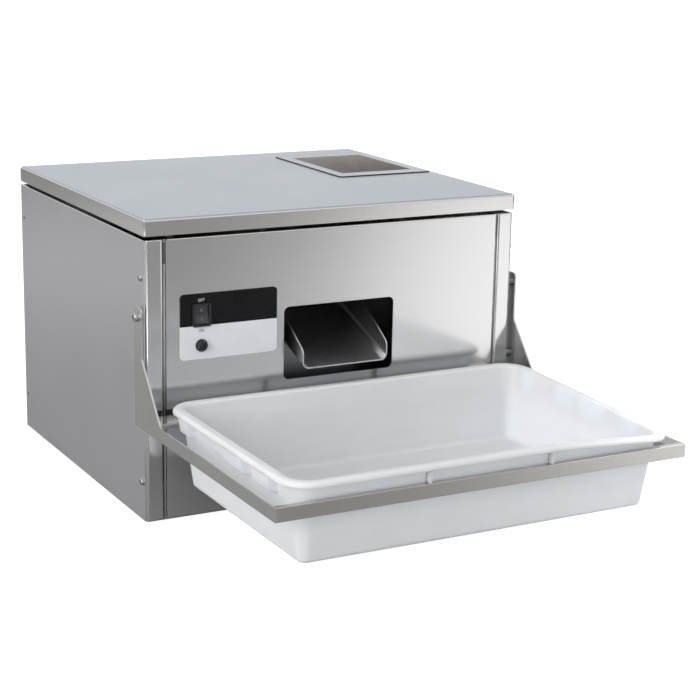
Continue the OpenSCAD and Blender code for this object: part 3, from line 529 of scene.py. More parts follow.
# Nearly black as painted shade, so that the gaps beside the front panel stay dark.
RAIL_STEEL_PAINTED_SHADE = Steel("rail_steel_painted_shade", (0.14, 0.138, 0.135), 0.42, Grain.ACROSS)
ARM_STEEL = Steel("arm_steel", (0.60, 0.595, 0.58), 0.26, Grain.DEEP,
                  shade=0.01, uneven=0.02, relief=0.003)
BAR_STEEL = Steel("bar_steel", (0.53, 0.52, 0.495), 0.13, Grain.ACROSS, shade=0.03, relief=0.015)
CHUTE_STEEL = Steel("chute_steel", (0.58, 0.585, 0.60), 0.30, Grain.DEEP, shade=0.03, relief=0.02)
# Darker than the panels' steel: painted shade in the gaps beside the front panel.
STRIP_STEEL_PAINTED_SHADE = Steel("strip_steel_painted_shade", (0.40, 0.395, 0.39), 0.26, shade=0.03, relief=0.02)
# Darker than the outer steel: painted shade for the parts inside the closed housing.
BOWL_STEEL_PAINTED_SHADE = Steel("bowl_steel", (0.30, 0.30, 0.305), 0.36, shade=0.03, relief=0.02)
SCREW_STEEL = Steel("screw_steel", (0.42, 0.42, 0.43), 0.24, line=0.5 * MM, run=4 * MM)
SPRING_STEEL = Steel("spring_steel", (0.36, 0.38, 0.41), 0.30, line=0.8 * MM, run=10 * MM)
SHAFT_STEEL = Steel("shaft_steel", (0.52, 0.52, 0.53), 0.20, line=0.4 * MM)
WEIGHT_IRON = Mottled("weight_iron", (0.17, 0.175, 0.185), 0.55, metallic=0.8,
                      relief=0.5, relief_size=1.4 * MM)
MOTOR_PAINT = Mottled("motor_paint", (0.16, 0.21, 0.27), 0.38, coat=0.3,
                      relief=0.3, relief_size=1.1 * MM)
CAN_ALUMINIUM = Mottled("can_aluminium", (0.66, 0.66, 0.67), 0.32, metallic=1.0, mottle=0.05)
HEATER_TUBE = HeatedTube("heater_tube")
TRAY_PLASTIC = Polyethylene("tray_polyethylene", (0.81, 0.84, 0.88))
BLACK_PLASTIC = Mottled("black_plastic", (0.014, 0.014, 0.016), 0.32)
ROCKER_PLASTIC = Mottled("rocker_plastic", (0.030, 0.031, 0.037), 0.36)
GREY_PLASTIC = Mottled("grey_plastic", (0.10, 0.10, 0.11), 0.42)
IVORY_PLASTIC = Mottled("ivory_plastic", (0.74, 0.70, 0.58), 0.40, mottle=0.05)
FOOT_RUBBER = Mottled("foot_rubber", (0.022, 0.022, 0.023), 0.72, relief=0.4, relief_size=0.9 * MM)
WHITE_INK = print_ink("white_ink", (0.62, 0.62, 0.63))
DARK_INK = print_ink("dark_ink", (0.09, 0.09, 0.10))
MARK_INK = print_ink("mark_ink", (0.30, 0.30, 0.32))


@cache
def material_of(finish: Finish) -> Material:
    """Returns a finish's material, which is made once."""
    return finish.material()


def meshed(name: str, shape: Shape) -> bpy.types.Mesh:
    """Turns a shape into a mesh.

    Args:
        name: Name of the mesh.
        shape: Shape, which is used up.

    Returns:
        The new mesh.
    """
    mesh = bpy.data.meshes.new(name)
    shape.to_mesh(mesh)
    shape.free()
    return mesh


def put(name: str, data: bpy.types.ID) -> bpy.types.Object:
    """Puts a new object into the scene.

    Args:
        name: Name of the object.
        data: Its mesh, lamp or camera.

    Returns:
        The new object.
    """
    thing = bpy.data.objects.new(name, data)
    bpy.context.scene.collection.objects.link(thing)
    return thing


@dataclass
class SubAssembly(ABC):
    """One sub-assembly, with the solids that it dresses and the pieces that it adds.

    Attributes:
        nodes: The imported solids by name.
    """

    nodes: dict[str, bpy.types.Object]

    @abstractmethod
    def build(self) -> None:
        """Dresses the solids and adds the pieces."""

    def dress(self, finish: Finish, *names: str) -> None:
        """Gives solids a finish.

        Args:
            finish: Finish to give.
            names: Nodes that get it.
        """
        for name in names:
            materials = self.nodes[name].data.materials
            materials.clear()
            materials.append(material_of(finish))
            LOG.info("%s: %s", name, finish.name)

    def soften(self, width: float, *names: str) -> None:
        """Breaks the sharp edges of solids with a narrow rounding.

        Args:
            width: Width of the rounding.
            names: Nodes that get it.
        """
        for name in names:
            modifiers = self.nodes[name].modifiers
            modifiers.new("joined", "WELD").merge_threshold = WELD_REACH
            edge = modifiers.new("edges", "BEVEL")
            edge.width, edge.segments = width, EDGE_STEPS
            edge.limit_method, edge.angle_limit = "ANGLE", EDGE_ANGLE
            edge.harden_normals = True

    def add(self, name: str, shape: Shape, body: str, slot: str, finish: Finish,
            *stands_for: str, crease: float = 40.0) -> bpy.types.Object:
        """Adds a new piece that rides on a body.

        Args:
            name: Name of the piece.
            shape: Its shape, which is used up.
            body: Body that it rides on, or an empty name for a piece that rides on none.
            slot: Material slot of the record; not used.
            finish: Finish of the piece.
            stands_for: Nodes that it replaces.
            crease: Angle in degrees above which an edge stays sharp.

        Returns:
            The new object.
        """
        bmesh.ops.recalc_face_normals(shape, faces=shape.faces)
        mesh = meshed(name, shape)
        mesh.shade_smooth()
        mesh.set_sharp_from_angle(angle=math.radians(crease))
        mesh.materials.append(material_of(finish))
        piece = put(name, mesh)
        if body:
            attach(piece, body)
        if stands_for:
            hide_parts(*stands_for)
        LOG.info("%s: new piece on %s, %s", name, body or "two bodies", finish.name)
        return piece


def bridge(shape: Shape, rings: list[list[Point]], joined: bool = False) -> None:
    """Adds rings of equal length to a mesh and joins them with four-sided faces.

    Args:
        shape: Mesh that gets them.
        rings: Points of each ring, in order.
        joined: Whether the last ring meets the first one, instead of a cap at each end.
    """
    made = [[shape.verts.new(point) for point in ring] for ring in rings]
    for low, high in zip(made, made[1:] + made[:1] if joined else made[1:]):
        for i in range(len(low)):
            k = (i + 1) % len(low)
            shape.faces.new((low[i], low[k], high[k], high[i]))
    if not joined:
        shape.faces.new(made[0])
        shape.faces.new(made[-1])


def facing(at: Vector, out: Vector, turn: float = 0.0, axis: str = "Z") -> Matrix:
    """Lays a frame at a point along a direction.

    Args:
        at: Place of the frame.
        out: Direction of its axis.
        turn: Turn about Z in degrees.
        axis: Axis that points along the direction.

    Returns:
        The frame.
    """
    swing = out.to_track_quat(axis, "Y").to_matrix().to_4x4()
    return Matrix.Translation(at) @ swing @ Matrix.Rotation(math.radians(turn), 4, "Z")


def middles(node: bpy.types.Object, reach: float = 12 * MM) -> list[Vector]:
    """Finds the middles of the separate solids in a node.

    Args:
        node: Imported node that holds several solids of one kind.
        reach: Distance within which points belong to one solid.

    Returns:
        The middle of each solid's box.
    """
    groups: list[list[Vector]] = []
    for vertex in node.data.vertices:
        near = next((g for g in groups if (g[0] - vertex.co).length < reach), [])
        if not near:
            groups.append(near)
        near.append(vertex.co.copy())
    found = []
    for group in groups:
        low, high = (Vector([end(p[i] for p in group) for i in range(3)]) for end in (min, max))
        found.append((low + high) / 2)
    return found


@dataclass(frozen=True)
class ScrewHead:
    """A pan head with a cross recess, drawn along +Z with its seat on z = 0, and its shank."""

    radius: float
    height: float
    shank: float
    length: float
    arm_share: float = 0.52
    slot_share: float = 0.13
    depth_share: float = 0.55
    floor_share: float = 0.6
    brim_share: float = 0.97
    points_between: int = 3

    def outline(self) -> list[tuple[float, float]]:
        """Draws the cross's outline with extra points between its corners.

        Returns:
            The outline's points in order.
        """
        a, w = self.arm_share * self.radius, self.slot_share * self.radius
        corners = []
        for turn in range(4):
            c, s = round(math.cos(turn * QUARTER)), round(math.sin(turn * QUARTER))
            corners += [(x * c - y * s, x * s + y * c) for x, y in ((a, -w), (a, w), (w, w))]
        points = []
        for (x, y), (u, v) in zip(corners, corners[1:] + corners[:1]):
            for t in spread(0.0, 1.0, self.points_between + 2)[:-1]:
                points.append((x + (u - x) * t, y + (v - y) * t))
        return points

    def draw(self, shape: Shape, frame: Matrix) -> None:
        """Adds the screw to a mesh.

        Args:
            shape: Mesh that gets it.
            frame: Place of the seat, with Z out of the head.
        """
        cross, share = self.outline(), self.floor_share
        angles = [math.atan2(y, x) for x, y in cross]
        floor, brim = self.height * (1 - self.depth_share), self.brim_share * self.height
        rings = [[(share * x, share * y, floor) for x, y in cross],
                 [(x, y, brim) for x, y in cross]]
        profile = [(r * self.radius, z * self.height) for r, z in PAN_PROFILE]
        profile += [(self.shank, 0.0), (self.shank, -self.length)]
        rings += [[(r * math.cos(a), r * math.sin(a), z) for a in angles] for r, z in profile]
        bridge(shape, [[frame @ Vector(point) for point in ring] for ring in rings])


@dataclass(frozen=True)
class Bead:
    """A rounded bead along an edge of the sheet metal, with its axis sunk in from the faces."""

    radius: float
    sink: float
    steps: int = 14

    def draw(self, shape: Shape, start: Vector, end: Vector, inward: Vector) -> None:
        """Adds the bead to a mesh.

        Args:
            shape: Mesh that gets it.
            start: One end of the edge.
            end: The other end of the edge.
            inward: Direction to the bead's axis, one unit for each face that it leaves.
        """
        along = (end - start).normalized()
        side = along.orthogonal().normalized()
        up = along.cross(side)
        rings = [(start + along * inset * self.radius, share) for share, inset in BEAD_END]
        rings += [(end - along * inset * self.radius, share) for share, inset in BEAD_END[::-1]]
        bridge(shape, [
            [at + inward * self.sink + side * (share * self.radius * math.cos(a))
             + up * (share * self.radius * math.sin(a)) for a in circle(self.steps)]
            for at, share in rings
        ])


@dataclass
class Housing(SubAssembly):
    """The sheet-metal housing with its posts, panels, feet and panel screws."""

    screw: ScrewHead = ScrewHead(4.2 * MM, 3.3 * MM, 2.0 * MM, 3.0 * MM)
    screw_turn: float = 17.0
    screw_turn_step: float = 31.0
    strip_depth: float = 1.5 * MM
    strip_bow: float = 1.3 * MM
    strip_sheet: float = 0.6 * MM
    strip_play: float = 0.15 * MM
    strip_points: int = 9
    strip_rings: int = 12
    hem: Bead = Bead(radius=0.9 * MM, sink=0.5 * MM)
    hem_end: float = 2 * MM
    hem_drop: float = 1.6

    def build(self) -> None:
        """Dresses the solids and adds the screws, the gap strips and the hems."""
        self.dress(FRONT_STEEL, "front_panel")
        self.dress(POST_STEEL, "front_post_left", "front_post_right")
        self.dress(SIDE_STEEL, "side_panel_left", "side_panel_right")
        self.dress(REAR_STEEL, "rear_panel", "rear_post_left", "rear_post_right")
        self.dress(FRAME_STEEL, "base_pan", "rear_rail")
        # The top rail behind the gaps is coloured nearly black as painted shade.
        self.dress(RAIL_STEEL_PAINTED_SHADE, "top_rail")
        self.dress(FOOT_RUBBER, "rubber_feet")
        self.dress(SCREW_STEEL, "foot_bolts")
        self.screws()
        self.gap_strips()
        self.hems()

    def hems(self) -> None:
        """Adds the rounded upper edges of the panels and the posts."""
        shape = bmesh.new()
        for name, side in (("side_panel_left", -1), ("side_panel_right", 1)):
            low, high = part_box(name)
            x = low.x if side < 0 else high.x
            ends = [Vector((x, y, high.z)) for y in (low.y + self.hem_end, high.y - self.hem_end)]
            self.hem.draw(shape, *ends, Vector((-side, 0.0, -self.hem_drop)))
        for name in ("front_panel", "front_post_left", "front_post_right"):
            low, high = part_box(name)
            edge = (low.x + self.hem_end, high.x - self.hem_end)
            ends = [Vector((x, low.y, high.z)) for x in edge]
            self.hem.draw(shape, *ends, Vector((0.0, 1.0, -self.hem_drop)))
        self.add("panel_hems", shape, "housing", "polished_steel", POST_STEEL, crease=60.0)

    def gap_strips(self) -> None:
        """Adds a bowed steel strip in the gap between the front panel and each post."""
        low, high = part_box("front_panel")
        gaps = {"left": (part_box("front_post_left")[1].x, low.x),
                "right": (high.x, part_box("front_post_right")[0].x)}
        depths = [low.y + self.strip_depth + self.strip_bow * (1 - share * share)
                  for share in spread(-1.0, 1.0, self.strip_points)]
        for name, (start, end) in gaps.items():
            across = spread(start + self.strip_play, end - self.strip_play, self.strip_points)
            section = list(zip(across, depths))
            section += [(x, y + self.strip_sheet) for x, y in reversed(section)]
            shape = bmesh.new()
            levels = spread(low.z, high.z, self.strip_rings)
            bridge(shape, [[(x, y, z) for x, y in section] for z in levels])
            # The strips get the darker steel as painted shade in the gaps.
            self.add(f"gap_strip_{name}", shape, "housing", "polished_steel", STRIP_STEEL_PAINTED_SHADE,
                     crease=60.0)

    def screws(self) -> None:
        """Adds the panel screws on both sides and at the back."""
        shape = bmesh.new()
        for number, (at, out) in enumerate(self.seats()):
            turn = self.screw_turn + self.screw_turn_step * number
            self.screw.draw(shape, facing(at, out, turn))
        self.add("panel_screw_set", shape, "housing", "screw_steel", SCREW_STEEL, "panel_screws",
                 crease=35.0)

    def seats(self) -> list[tuple[Vector, Vector]]:
        """Finds the screws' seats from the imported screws' own solids.

        Returns:
            Each screw's seat and direction.
        """
        walls = ((0, -1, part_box("side_panel_left")[0].x), (0, 1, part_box("side_panel_right")[1].x),
                 (1, 1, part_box("rear_panel")[1].y))
        found = []
        for seat in middles(self.nodes["panel_screws"]):
            axis, way, face = min(walls, key=lambda wall: abs(seat[wall[0]] - wall[2]))
            out = Vector()
            seat[axis], out[axis] = face, way
            found.append((seat, out))
        return found


@dataclass
class LidAndHopper(SubAssembly):
    """The loose lid and the hopper that hangs in it."""

    corner_weld: Bead = Bead(radius=1.4 * MM, sink=0.9 * MM)
    weld_end: float = 0.4 * MM
    shadow_band_corner: float = 4 * MM
    shadow_band_play: float = 0.05 * MM
    shadow_band_width: float = 1.0 * MM
    shadow_band_height: float = 1.15 * MM
    shadow_band_taper: float = 0.6
    corner_steps: int = 6

    def build(self) -> None:
        """Dresses the solids and adds the welded corners and the dark band round the flange, a
        painted shadow line.
        """
        self.dress(LID_STEEL_PAINTED_SHADE, "lid")
        self.dress(HOPPER_STEEL_PAINTED_SHADE, "hopper")
        self.welds()
        self.shadow_band()

    def welds(self) -> None:
        """Adds the ground weld at each corner of the lid's skirt."""
        low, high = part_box("lid")
        shape = bmesh.new()
        for x, across in ((low.x, 1), (high.x, -1)):
            for y, along in ((low.y, 1), (high.y, -1)):
                levels = (low.z + self.weld_end, high.z - self.weld_end)
                ends = [Vector((x, y, z)) for z in levels]
                self.corner_weld.draw(shape, *ends, Vector((across, along, 0.0)))
        self.add("lid_corner_welds", shape, "lid", "polished_steel", POST_STEEL, crease=60.0)

    def shadow_band(self) -> None:
        """Adds a thin dark band round the hopper's flange, a painted shadow line."""
        low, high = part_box("hopper")
        near, far, share, r = self.shadow_band_play, self.shadow_band_width, self.shadow_band_taper, self.shadow_band_corner
        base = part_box("lid")[1].z + self.shadow_band_play
        top = base + self.shadow_band_height
        section = [(near, base), (far, base), (far, base + share * self.shadow_band_height),
                   (share * far, top), (near, top)]
        left, right, front, back = low.x + r, high.x - r, low.y + r, high.y - r
        rings = []
        for turn, (x, y) in enumerate(((right, back), (left, back), (left, front), (right, front))):
            for a in spread(turn * QUARTER, (turn + 1) * QUARTER, self.corner_steps + 1):
                c, s = math.cos(a), math.sin(a)
                rings.append([(x + (r + out) * c, y + (r + out) * s, z) for out, z in section])
        shape = bmesh.new()
        bridge(shape, rings, joined=True)
        # The black rubber finish makes the band stand in for the flange's shadow line.
        self.add("hopper_shadow_band", shape, "hopper", "foot_rubber", FOOT_RUBBER, crease=50.0)


class Letter(Enum):
    """Plain capitals of the switch, each a width and straight strokes on a box one high."""

    F = (0.55, ((0, 0, 0, 1), (0, 1, 0.55, 1), (0, 0.52, 0.44, 0.52)))
    N = (0.66, ((0, 0, 0, 1), (0, 1, 0.66, 0), (0.66, 0, 0.66, 1)))
    O = (0.72, ())
    I = (0.0, ((0, 0, 0, 1),))

    def __init__(self, width: float, strokes: tuple[tuple[float, ...], ...]) -> None:
        """Keeps the width and the strokes by name."""
        self.width, self.strokes = width, strokes


@dataclass(frozen=True)
class Lettering:
    """A short word in plain strokes, raised a hair, with gaps as a share of its height."""

    height: float
    stroke: float
    raised: float = 0.06 * MM
    gap: float = 0.30
    ring_points: int = 32

    def draw(self, shape: Shape, word: str, frame: Matrix) -> None:
        """Adds a word to a mesh.

        Args:
            shape: Mesh that gets it.
            word: Word to write.
            frame: Middle of the word, with X along it, Y up it and Z out of its face.
        """
        letters = [Letter[c] for c in word]
        start = -(sum(letter.width for letter in letters) + self.gap * (len(letters) - 1)) / 2
        for letter in letters:
            for x, y, u, v in letter.strokes:
                self.bar(shape, self.spot(start + x, y), self.spot(start + u, v), frame)
            if letter is Letter.O:
                self.ring(shape, self.spot(start + letter.width / 2, 0.5), letter.width, frame)
            start += letter.width + self.gap

    def spot(self, across: float, up: float) -> Vector:
        """Returns a point of a letter in real size, from the word's middle."""
        return Vector((across * self.height, (up - 0.5) * self.height, 0.0))

    def bar(self, shape: Shape, a: Vector, b: Vector, frame: Matrix) -> None:
        """Adds one straight stroke.

        Args:
            shape: Mesh that gets it.
            a: One end of the stroke.
            b: The other end of the stroke.
            frame: Middle of the word.
        """
        along = (b - a).normalized() * self.stroke / 2
        aside = Vector((-along.y, along.x, 0.0))
        corners = [a - along - aside, b + along - aside, b + along + aside, a - along + aside]
        up = Vector((0.0, 0.0, self.raised))
        bridge(shape, [[frame @ (corner + lift) for corner in corners] for lift in (up * 0, up)])

    def ring(self, shape: Shape, middle: Vector, width: float, frame: Matrix) -> None:
        """Adds one oval stroke.

        Args:
            shape: Mesh that gets it.
            middle: Middle of the oval.
            width: Width of the oval as a share of its height.
            frame: Middle of the word.
        """
        rings = []
        for grow, lift in ((0.5, 0.0), (0.5, self.raised), (-0.5, self.raised), (-0.5, 0.0)):
            rx = width * self.height / 2 + grow * self.stroke
            ry = self.height / 2 + grow * self.stroke
            rings.append([frame @ (middle + Vector((rx * math.cos(a), ry * math.sin(a), lift)))
                          for a in circle(self.ring_points)])
        bridge(shape, rings, joined=True)


@dataclass
class ControlPanel(SubAssembly):
    """The printed plate with its switch and fuse holder.

    Attributes:
        joints: The part's joints, which give the rocker's pivot.
    """

    joints: list[dict] = field(default_factory=list)
    dark: Colour = (0.006, 0.006, 0.007)
    pale: Colour = (0.80, 0.81, 0.84)
    dark_share: float = 0.49
    word: Lettering = Lettering(3.1 * MM, 0.55 * MM)
    off_rise: float = 3.9 * MM
    on_drop: float = 4.7 * MM
    mark: Lettering = Lettering(2.9 * MM, 0.45 * MM)
    rocker_tilt: float = math.radians(8.0)
    rocker_reach: float = 10.8 * MM
    rocker_face: float = 2.0 * MM
    plate_edge: float = 0.25 * MM

    def build(self) -> None:
        """Dresses the solids and adds the words and marks."""
        low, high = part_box("control_plate")
        level = high.z - self.dark_share * (high.z - low.z)
        self.dress(PrintedPlate("printed_plate", self.dark, self.pale, level), "control_plate")
        self.dress(BLACK_PLASTIC, "switch_bezel", "fuse_holder", "fuse_cap")
        self.dress(ROCKER_PLASTIC, "switch_rocker")
        self.dress(GREY_PLASTIC, "fuse_nut")
        self.dress(IVORY_PLASTIC, "fuse_cartridge")
        self.soften(self.plate_edge, "control_plate", "switch_bezel")
        self.words(low.y)
        self.marks()

    def words(self, face: float) -> None:
        """Prints OFF above the switch and ON below it.

        Args:
            face: Front of the plate along Y.
        """
        low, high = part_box("switch_bezel")
        middle = (low.x + high.x) / 2
        top, foot = high.z + self.off_rise, low.z - self.on_drop
        for word, z, finish in (("OFF", top, WHITE_INK), ("ON", foot, DARK_INK)):
            shape = bmesh.new()
            upright = Matrix.Rotation(QUARTER, 4, "X")
            self.word.draw(shape, word, Matrix.Translation((middle, face, z)) @ upright)
            self.add(f"word_{word.lower()}", shape, "housing", "plate_print", finish)

    def marks(self) -> None:
        """Prints O and I on the two halves of the rocker."""
        pivot = next(Vector(j["pos_m"]) for j in self.joints if j["name"] == "switch_rock")
        low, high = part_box("switch_bezel")
        pivot.x = (low.x + high.x) / 2
        tilt, reach = self.rocker_tilt, self.rocker_reach / 2
        turned = Matrix.Translation(pivot) @ Matrix.Rotation(-tilt, 4, "X")
        for word, half in (("O", 1), ("I", -1)):
            at = (0.0, -self.rocker_face - reach * math.tan(tilt), half * reach)
            lean = Matrix.Rotation(QUARTER + half * tilt, 4, "X")
            shape = bmesh.new()
            self.mark.draw(shape, word, turned @ Matrix.Translation(at) @ lean)
            self.add(f"rocker_mark_{word.lower()}", shape, "rocker", "plate_print", MARK_INK)


@dataclass
class Rack(SubAssembly):
    """The rack that carries the tray, with its screws."""

    edge: float = 0.5 * MM
    screw: ScrewHead = ScrewHead(5.5 * MM, 4.4 * MM, 2.5 * MM, 3.5 * MM)
    screw_turn: float = 38.0
    screw_span: float = 30 * MM

    def build(self) -> None:
        """Dresses the solids and adds the screws."""
        self.dress(ARM_STEEL, "rack_arm_left", "rack_arm_right")
        self.dress(BAR_STEEL, "rack_front_bar", "rack_rear_bar")
        self.dress(FRAME_STEEL, "rack_spacers", "rack_nuts")
        self.soften(self.edge, "rack_arm_left", "rack_arm_right", "rack_front_bar", "rack_rear_bar")
        left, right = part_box("rack_arm_left")[0].x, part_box("rack_arm_right")[1].x
        shape = bmesh.new()
        for seat in middles(self.nodes["rack_screws"], self.screw_span):
            out = Vector((math.copysign(1.0, seat.x), 0.0, 0.0))
            seat.x = left if out.x < 0 else right
            self.screw.draw(shape, facing(seat, out, self.screw_turn))
        self.add("rack_screw_pair", shape, "housing", "screw_steel", SCREW_STEEL, "rack_screws",
                 crease=35.0)


class Station(NamedTuple):
    """One place round the tray's rim, with its distance along a short side or none elsewhere."""

    middle: Vector
    out: Vector
    along: float | None = None


class SectionPoint(NamedTuple):
    """One point of the tray's section, in from the rim and up from the base.

    Only the wall's upper part, the shoulder, has the stacking lugs.
    """

    inset: float
    height: float
    shoulder: bool


@dataclass(frozen=True)
class Lug:
    """A stacking lug under the rim of a short side, placed along it from its middle."""

    start: float
    end: float
    reach: float

    def share(self, along: float, slope: float) -> float:
        """Returns the share of the reach at a place along the side."""
        return clamp(min(along - self.start, self.end - along) / slope + 0.5)


@dataclass
class CollectingTray(SubAssembly):
    """The milky plastic tray: a tub with a narrow rolled rim, ribs and stacking lugs under it."""

    low: Vector = field(init=False)
    high: Vector = field(init=False)
    height: float = field(init=False)
    corner: float = 34 * MM
    overhang: float = 10 * MM
    draft: float = 13.5 * MM
    wall: float = 3 * MM
    rim: float = 3 * MM
    lip: float = 6 * MM
    lip_edge: float = 0.8 * MM
    lip_play: float = 0.3 * MM
    roll: float = 4.2 * MM
    inner_round: float = 3.2 * MM
    floor_round: float = 6 * MM
    floor_inset: float = 33 * MM
    base_round: float = 6 * MM
    stand: float = 21 * MM
    seat_gap: float = 0.2 * MM
    shoulder: float = 26 * MM
    shoulder_rings: int = 22
    station_step: float = 1.5 * MM
    long_steps: int = 12
    arc_points: int = 7
    corner_steps: int = 14
    foot_lift: float = 1.2 * MM
    foot_width: float = 1 * MM
    lugs: tuple[Lug, ...] = (
        Lug(98 * MM, 122 * MM, 9.5 * MM),
        Lug(16 * MM, 52 * MM, 4.5 * MM),
        Lug(-42 * MM, 7 * MM, 9.5 * MM),
        Lug(-104 * MM, -72 * MM, 9.5 * MM),
    )
    lug_depth: float = 18 * MM
    lug_arch: float = 4 * MM
    lug_edge: float = 1.2 * MM
    lug_slope: float = 1.6 * MM
    ribs: tuple[float, ...] = (-75 * MM, 75 * MM)
    rib_half: float = 1.5 * MM
    rib_root: float = 0.25 * MM
    rib_toe: float = 2 * MM
    rib_heel: float = 0.9 * MM
    sag: float = 9 * MM
    sag_start: float = 90 * MM

    def build(self) -> None:
        """Builds the tray in the place of its solid."""
        self.low, self.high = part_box("tray")
        self.height = self.high.z - self.low.z
        shape, stations = bmesh.new(), self.stations()
        bridge(shape, [[self.spot(station, point) for station in stations]
                       for point in self.section()])
        for way, y in ((-1.0, self.low.y), (1.0, self.high.y)):
            for at in self.ribs:
                self.draw_rib(shape, Vector((self.middle.x + at, y, self.low.z)), way)
        self.add("collecting_tray", shape, "tray", "tray_plastic", TRAY_PLASTIC, "tray",
                 crease=50.0)

    @property
    def middle(self) -> Vector:
        """Middle of the tray's box."""
        return (self.low + self.high) / 2

    def draw_rib(self, shape: Shape, edge: Vector, way: float) -> None:
        """Adds one upright rib between the wall and the lip, with its foot on the rack.

        Args:
            shape: Mesh that gets it.
            edge: Point under the rim's outer edge, at the base's height.
            way: 1 at the back and -1 at the front.
        """
        root, front = self.rib_root, self.rim - self.rib_root
        foot, top = self.height - self.stand + self.seat_gap, self.height - self.rim + root
        outline = [(self.wall_inset(foot) + root, foot), (self.rim + self.rib_toe, foot),
                   (front, self.height - self.lip + self.rib_heel), (front, top),
                   (self.wall_inset(top) + root, top)]
        bridge(shape, [
            [(edge.x + step * self.rib_half, edge.y - way * inset, edge.z + height)
             for inset, height in outline] for step in (-1.0, -0.75, 0.75, 1.0)
        ])

    def spot(self, station: Station, point: SectionPoint) -> Vector:
        """Finds a point of the tray's skin.

        Args:
            station: Place round the rim.
            point: Place on the section.

        Returns:
            The point in the part's frame.
        """
        inset = point.inset - (self.relief(station, point.height) if point.shoulder else 0.0)
        place = station.middle + station.out * (self.corner - inset)
        place.z = self.low.z + point.height - self.droop(place, point.height)
        return place

    def droop(self, place: Vector, height: float) -> float:
        """Finds how far the soft rim hangs down near its front right corner.

        Args:
            place: Place on the tray's skin, seen from above.
            height: Height above the tray's base.

        Returns:
            The step down.
        """
        size, start = self.high - self.low, self.sag_start
        across = clamp((place.x - self.middle.x - start) / (size.x / 2 - start))
        along = clamp((self.high.y - place.y) / size.y)
        return self.sag * across * along * (height / self.height) ** 2

    def stations(self) -> list[Station]:
        """Lays the stations out round the rim, anticlockwise from above.

        Returns:
            The stations in order.
        """
        low, high = self.low, self.high
        half = Vector(((high.x - low.x) / 2 - self.corner, (high.y - low.y) / 2 - self.corner, 0.0))
        found = []
        for turn in range(4):
            angle = turn * QUARTER
            out = Vector((round(math.cos(angle)), round(math.sin(angle)), 0.0))
            way = Vector((-out.y, out.x, 0.0))
            far, run = abs(out.dot(half)), abs(way.dot(half))
            short = turn % 2 == 0
            count = int(2 * run / self.station_step) if short else self.long_steps
            face = self.middle + out * far
            for along in spread(-run, run, count + 1)[1:-1]:
                found.append(Station(face + way * along, out, along * way.y if short else None))
            for a in spread(angle, angle + QUARTER, self.corner_steps + 1):
                found.append(Station(face + way * run, Vector((math.cos(a), math.sin(a), 0.0))))
        return found

    def wall_inset(self, height: float) -> float:
        """Returns how far the outer wall lies in from the rim at a height."""
        return self.overhang + self.draft * (1 - height / (self.height - self.rim))

    def section(self) -> list[SectionPoint]:
        """Draws the section from the inside floor over the rim to the underside.

        Returns:
            The section's points in order.
        """
        arc = [(math.cos(a), math.sin(a)) for a in spread(0.0, QUARTER, self.arc_points)]
        h, t, rim, edge, wall = self.height, self.wall, self.rim, self.lip_edge, self.wall_inset
        top, under, foot = h - rim, h - rim - self.shoulder, h - self.lip
        r = self.floor_round
        middle = wall(t + r) + t + r
        inside = [(self.floor_inset, t)]
        inside += [(middle - r * s, t + r * (1 - c)) for c, s in arc]
        heights = spread(t + r, under, 6)[1:] + spread(under, h - self.inner_round, 14)[1:]
        inside += [(wall(z) + t, z) for z in heights]
        r = self.inner_round
        middle = wall(h - r) + t - r
        inside += [(middle + r * c, h - r + r * s) for c, s in arc[1:]]
        r = self.roll
        inside += [(r * (1 - s), h - r * (1 - c)) for c, s in arc]
        inside += [(0.0, foot + edge), (0.3 * edge, foot + 0.3 * edge), (edge, foot),
                   (rim - edge, foot), (rim, foot + edge), (rim, top - edge), (rim + edge, top)]
        shoulder = [(wall(z), z) for z in spread(top, under, self.shoulder_rings)]
        r = self.base_round
        base = wall(r) + r
        outside = [(wall(z), z) for z in spread(under, r, 8)[1:]]
        outside += [(wall(r) + r * (1 - c), r * (1 - s)) for c, s in arc[1:]]
        outside += [(base + self.foot_width, 0.0), (base + 2 * self.foot_width, self.foot_lift),
                    (self.floor_inset, self.foot_lift)]
        return [SectionPoint(inset, z, points is shoulder)
                for points in (inside, shoulder, outside) for inset, z in points]

    def relief(self, station: Station, height: float) -> float:
        """Finds how far a lug stands out of the wall.

        Args:
            station: Place round the rim.
            height: Height above the tray's base.

        Returns:
            The step out of the plain wall.
        """
        if station.along is None:
            return 0.0
        under_lip = height < self.height - self.lip - self.lip_play
        room = self.wall_inset(height) - (self.lug_edge if under_lip else self.rim + self.lip_play)
        reach = max(min(lug.reach, room) * lug.share(station.along, self.lug_slope)
                    for lug in self.lugs)
        under = self.height - self.rim - self.lug_depth - height
        fall = clamp(1 - under / self.lug_arch)
        return reach * math.sqrt(fall * (2 - fall))


@dataclass
class VibratingBowl(SubAssembly):
    """The vibrating bowl with its ramp and outlet chute."""

    chute_edge: float = 0.35 * MM

    def build(self) -> None:
        """Dresses the solids."""
        self.dress(CHUTE_STEEL, "outlet_chute")
        # The bowl and column get the darker steel as painted shade inside the housing.
        self.dress(BOWL_STEEL_PAINTED_SHADE, "bowl_trough", "bowl_wall", "spiral_ramp", "motor_column",
                   "column_cap")
        self.soften(self.chute_edge, "outlet_chute")


